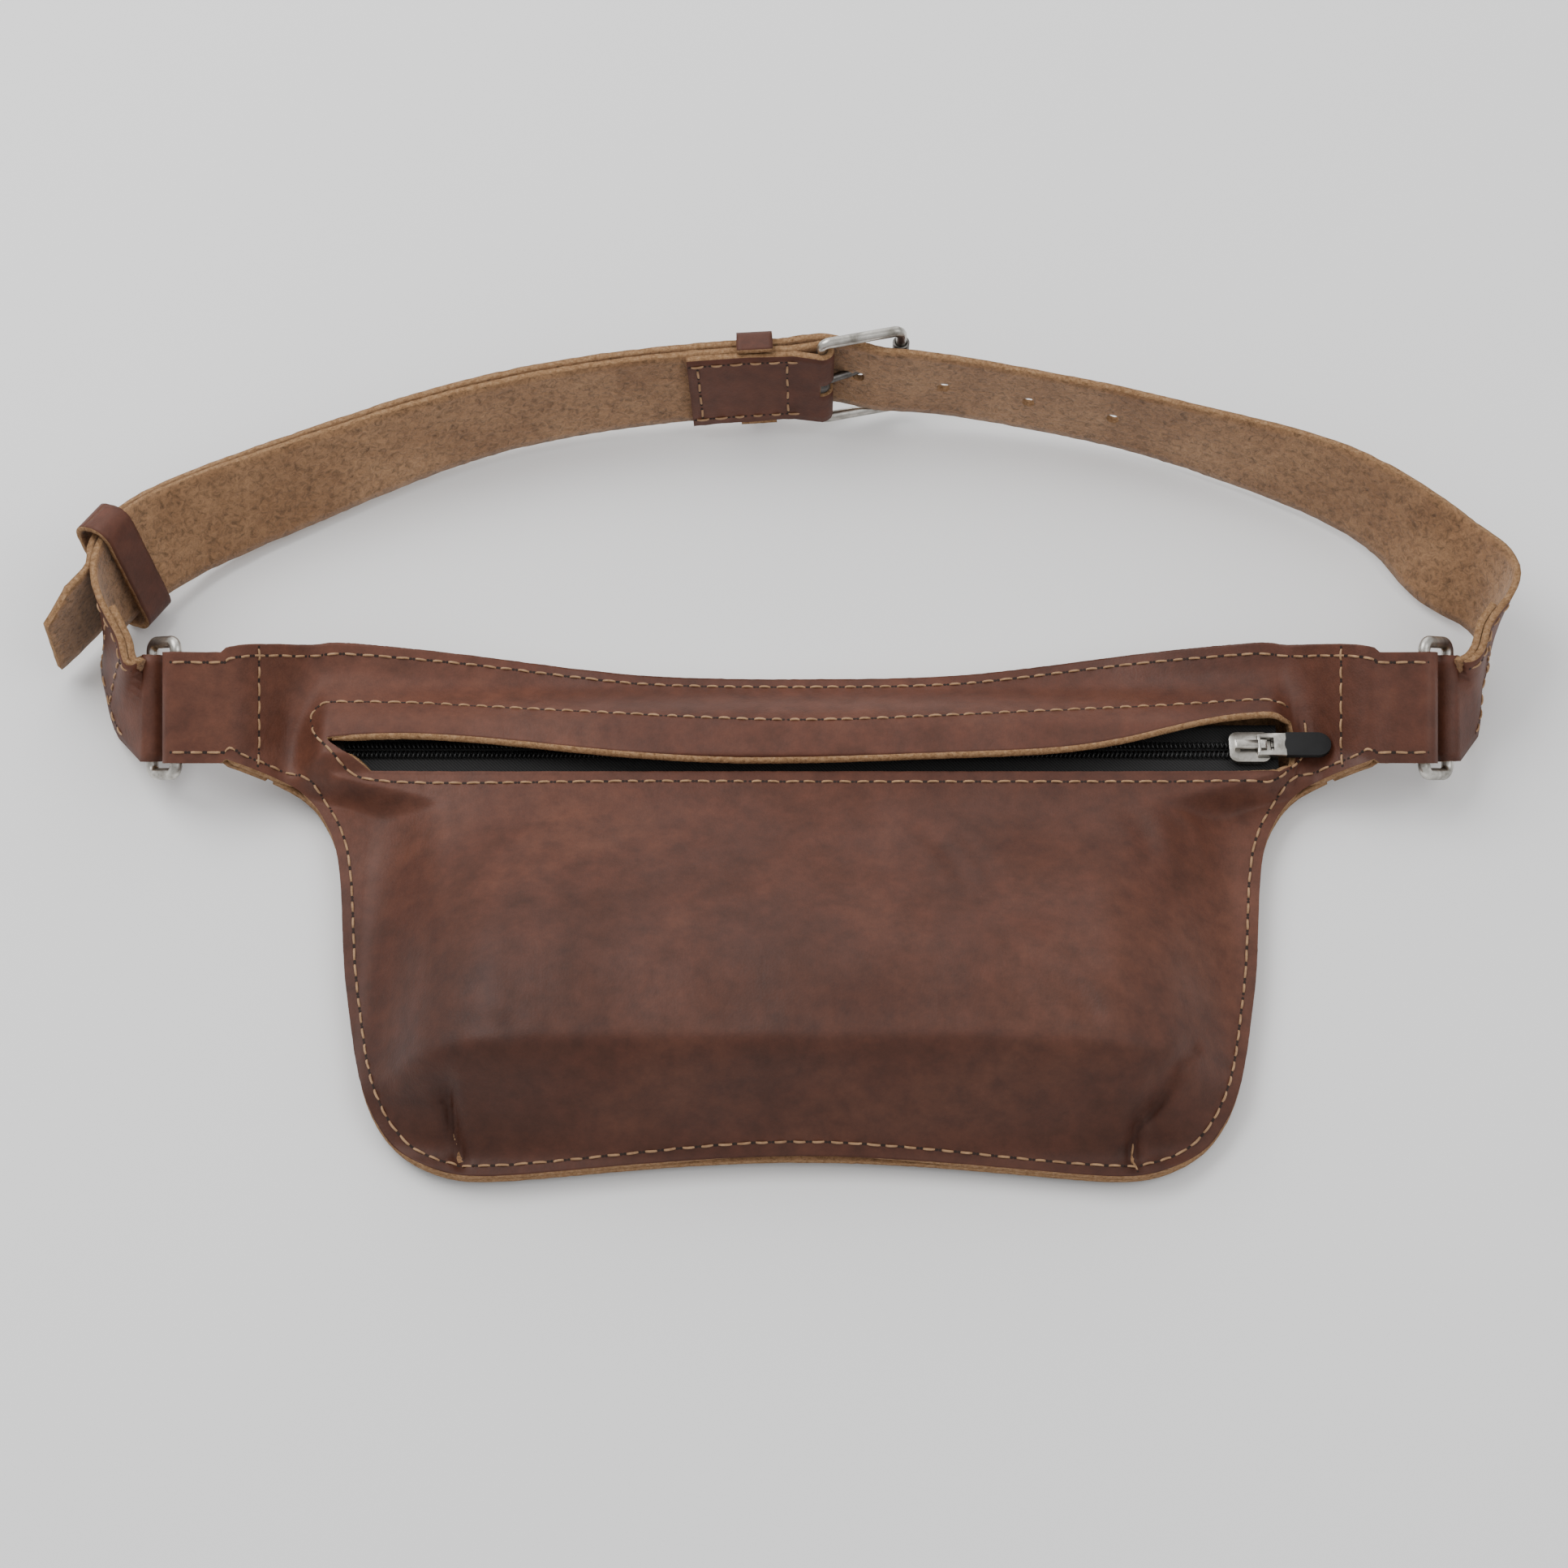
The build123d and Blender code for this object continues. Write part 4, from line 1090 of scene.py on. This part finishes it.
def tail_path():
    centre, across, face, run = BELT.at(TAIL_LEAVES_S)
    start = centre + face * TAIL_OFFSET
    out = []
    up = np.array([0.0, 0.0, 1.0])
    for distance in np.linspace(2.5, TAIL_LENGTH, 12):
        turn = np.interp(distance, [0, 8, 17, TAIL_LENGTH], [0, 3, 7, 10])
        heading = rotate_z(-run, -turn)
        spot = start + heading * distance
        settle = smooth(distance / 8.0)
        spot[2] = spot[2] * (1 - settle) + TAIL_Z * settle
        flat = unit(np.array([heading[0], heading[1], 0.0]))
        rule = unit(across * (1 - settle) + up * settle)
        out.append((spot, rule, np.cross(rule, -flat)))
    return out


def hole_strap():
    end = BELT.length
    path = ply_path(along(end - RING_DOUBLED, end - FOLD_CLEAR), -PLY)
    path += fold_round(end, -1, WIRE_R + OPEN_CLEARANCE + FACET + LEATHER / 2)[::-1]
    path += ply_path(along(end - FOLD_CLEAR, FRONT_S + 6.0), PLY)
    path += ply_path(along(FRONT_S + 4.0, HEEL_S - 18.0, 1.4), hole_offset)
    path += ply_path(along(HEEL_S - 20.0, TAIL_LEAVES_S), TAIL_OFFSET)
    tail = tail_path()
    path += tail
    obj = strap_mesh("hole_strap_leather", "belt", path, seed=7.0)
    places = []
    for number in range(4):
        s = HEEL_S + FIRST_HOLE + number * HOLE_PITCH
        centre, _, face, _ = BELT.at(s)
        off = hole_offset(s) if number == 0 else PLY
        places.append((centre + face * off, face))
    cut_with(obj, places, HOLE_R)
    corner, rule, face = tail[-1]
    clip_corner(obj, corner + rule * STRAP / 2, rule, face)
    finish_leather(obj, "hole_strap")


def clip_corner(obj, corner, rule, face):
    """Cuts the tail's upper corner off on the slant."""
    run = unit(np.cross(rule, face))
    if run.dot(np.array([-1.0, -0.7, 0])) < 0:
        run = -run
    normal = unit(rule * 0.82 + run * 0.57)
    spot = corner - normal * 6.0
    mesh = obj.data
    bm = bmesh.new()
    bm.from_mesh(mesh)
    near = [v for v in bm.verts if (np.array(v.co) / MM - corner).dot(run) > -26
            and np.linalg.norm(np.array(v.co) / MM - corner) < 40]
    pick = set(near)
    geom = near + [e for e in bm.edges if e.verts[0] in pick and e.verts[1] in pick] \
        + [f for f in bm.faces if all(v in pick for v in f.verts)]
    cut = bmesh.ops.bisect_plane(bm, geom=geom, plane_co=Vector(spot * MM),
                                 plane_no=Vector(normal), clear_outer=True)
    edges = [e for e in cut["geom_cut"] if isinstance(e, bmesh.types.BMEdge)]
    filled = bmesh.ops.triangle_fill(bm, edges=edges, use_beauty=True)
    for item in filled["geom"]:
        if isinstance(item, bmesh.types.BMFace):
            item.material_index = 2
    bm.normal_update()
    bm.to_mesh(mesh)
    bm.free()


def belt_seam(marks, offset, t):
    """Row of stitches along the belt at t mm off its middle, on a ply's grain side."""
    points, normals = [], []
    for centre, across, face in ply_path(marks, offset):
        points.append(centre + across * t + face * LEATHER / 2)
        normals.append(face)
    return points, normals


def belt_cross(s, offset, lean=0.0):
    points, normals = [], []
    for t in np.linspace(-12, 12, 16):
        place, across, face = ply_path([s + lean * t], offset)[0]
        points.append(place + across * t + face * LEATHER / 2)
        normals.append(face)
    return points, normals


def belt_seams():
    end = BELT.length
    runs = []
    for start, stop, offset, crosses in (
            (FOLD_CLEAR - 1, RING_DOUBLED + 3, PLY, ((15.0, 0.12), (27.0, 0.10))),
            (end - RING_DOUBLED - 3, end - FOLD_CLEAR + 1, PLY, ((end - 24.0, 0.0),)),
            (HEEL_S - BUCKLE_DOUBLED + 0.5, HEEL_S - 5.0, -PLY,
             ((HEEL_S - 36.0, 0.0), (HEEL_S - 10.0, 0.0)))):
        marks = along(start, stop, 1.5)
        runs.append(belt_seam(marks, offset, SEAM_ACROSS))
        runs.append(belt_seam(marks, offset, -SEAM_ACROSS))
        for place, lean in crosses:
            runs.append(belt_cross(place, offset, lean))
    return runs


def band(name, body, s, low, high, clear, corner, closed=True):
    """Leather loop round the straps with rounded corners."""
    centre, across, face, run = BELT.at(s)
    middle_of_leather = clear + KEEPER_THICK / 2
    wide = STRAP / 2 + middle_of_leather
    bottom, top = low - middle_of_leather, high + middle_of_leather
    ring = []
    corners = [(wide, top, 0), (-wide, top, 90), (-wide, bottom, 180), (wide, bottom, 270)]
    for cx, cy, start in corners:
        ox = cx - corner if cx > 0 else cx + corner
        oy = cy - corner if cy == top else cy + corner
        for turn in np.radians(np.linspace(start, start + 90, 7)):
            ring.append((ox + corner * math.cos(turn), oy + corner * math.sin(turn)))
    if not closed:
        ring = [(wide, low)] + ring[:14] + [(-wide, low)]
    else:
        ring.append(ring[0])
    ring = even(np.array(ring), 1.0)
    columns = 9
    t = np.linspace(-0.5, 0.5, columns)
    grid = np.zeros((len(ring), columns, 3))
    for i, (a, f) in enumerate(ring):
        bulge = 0.10 * math.sin(i * 0.7)
        spot = centre + across * a + face * f
        grid[i] = spot + np.outer(t * (KEEPER_WIDTH + bulge), run)
    faces = grid_faces(len(ring), columns)
    middle = grid[:, 4].mean(axis=0)
    k = len(ring) // 2
    normal = np.cross(grid[k][1] - grid[k][0], grid[k + 1][0] - grid[k][0])
    if normal.dot(grid[k][4] - middle) < 0:
        faces = [f[::-1] for f in faces]
    obj = make(name + "_leather", grid.reshape(-1, 3), faces, body, LEATHERS)
    thicken(obj, KEEPER_THICK, 0.0)
    bake(obj)
    finish_leather(obj, name, 0.12)


buckle_strap()
hole_strap()
stitches("belt_stitches", "belt", belt_seams())
band("sliding_keeper", "sliding_keeper", KEEPER_S, PLY - 1.0, TAIL_OFFSET + 1.0, 2.6, 4.4)
band("fixed_keeper", "belt", FIXED_KEEPER_S, -PLY, TAIL_OFFSET + 1.0, 0.8, 2.2, False)


# ---- hardware and threads ----

def dress(node, mat, bevel=0.0):
    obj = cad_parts[node]
    obj.data.materials.clear()
    obj.data.materials.append(mat)
    for polygon in obj.data.polygons:
        polygon.material_index = 0
        polygon.use_smooth = True
    if bevel:
        weld = obj.modifiers.new("weld", "WELD")
        weld.merge_threshold = 0.002 * MM
        edge = obj.modifiers.new("bevel", "BEVEL")
        edge.width = bevel * MM
        edge.segments = 3
        edge.limit_method = "ANGLE"
        edge.angle_limit = math.radians(40)
        edge.harden_normals = True


for node, mat, bevel in (("ring_left", NICKEL, 0), ("ring_right", NICKEL, 0),
                         ("buckle_frame", NICKEL, 0), ("buckle_roller", DARK_NICKEL, 0.3),
                         ("buckle_prong", DARK_NICKEL, 0), ("zip_slider", NICKEL, 0.18),
                         ("zip_pull_plate", NICKEL, 0.16), ("zip_pull_tab", RUBBER, 0.25),
                         ("zip_top_stops", NICKEL, 0.15), ("zip_bottom_stop", NICKEL, 0.15)):
    dress(node, mat, bevel)
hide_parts("ring_thread_left", "ring_thread_right", "buckle_thread")


# ---- stage ----

def stage():
    mesh = bpy.data.meshes.new("floor")
    size = 3.0
    low = min(START_BOUNDS[0][2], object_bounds()[0][2]) - 0.0003
    mesh.from_pydata([(-size, -size, low), (size, -size, low), (size, size, low),
                      (-size, size, low)], [], [(0, 1, 2, 3)])
    floor = bpy.data.objects.new("floor", mesh)
    bpy.context.scene.collection.objects.link(floor)
    mat, _, bsdf = material("paper", 0.9)
    bsdf.inputs["Base Color"].default_value = (0.86, 0.86, 0.86, 1)
    mesh.materials.append(mat)
    floor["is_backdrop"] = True
    world = bpy.data.worlds.new("studio")
    bpy.context.scene.world = world
    world.use_nodes = True
    world.node_tree.nodes["Background"].inputs[0].default_value = (1.0, 1.0, 1.0, 1)
    world.node_tree.nodes["Background"].inputs[1].default_value = 0.75
    for place, power, width in (((-0.7, 0.5, 1.1), 13.0, 0.9), ((0.9, -0.2, 1.2), 6.0, 1.0),
                                ((0.0, 1.2, 0.7), 5.0, 1.2)):
        lamp = bpy.data.lights.new("soft_light", "AREA")
        lamp.energy = power
        lamp.size = width
        light = bpy.data.objects.new("soft_light", lamp)
        light.location = place
        aim = Vector((0, 0.03, 0)) - Vector(place)
        light.rotation_euler = aim.to_track_quat("-Z", "Y").to_euler()
        bpy.context.scene.collection.objects.link(light)
    lens = bpy.data.cameras.new("camera")
    lens.lens = 81.06
    lens.sensor_width = 36.0
    camera = bpy.data.objects.new("camera", lens)
    target = Vector((-0.0045, 0.041, 0.0))
    camera.location = target + Vector((0, -0.5, 0.866))
    camera.rotation_euler = (target - camera.location).to_track_quat("-Z", "Y").to_euler()
    bpy.context.scene.collection.objects.link(camera)
    bpy.context.scene.camera = camera


stage()
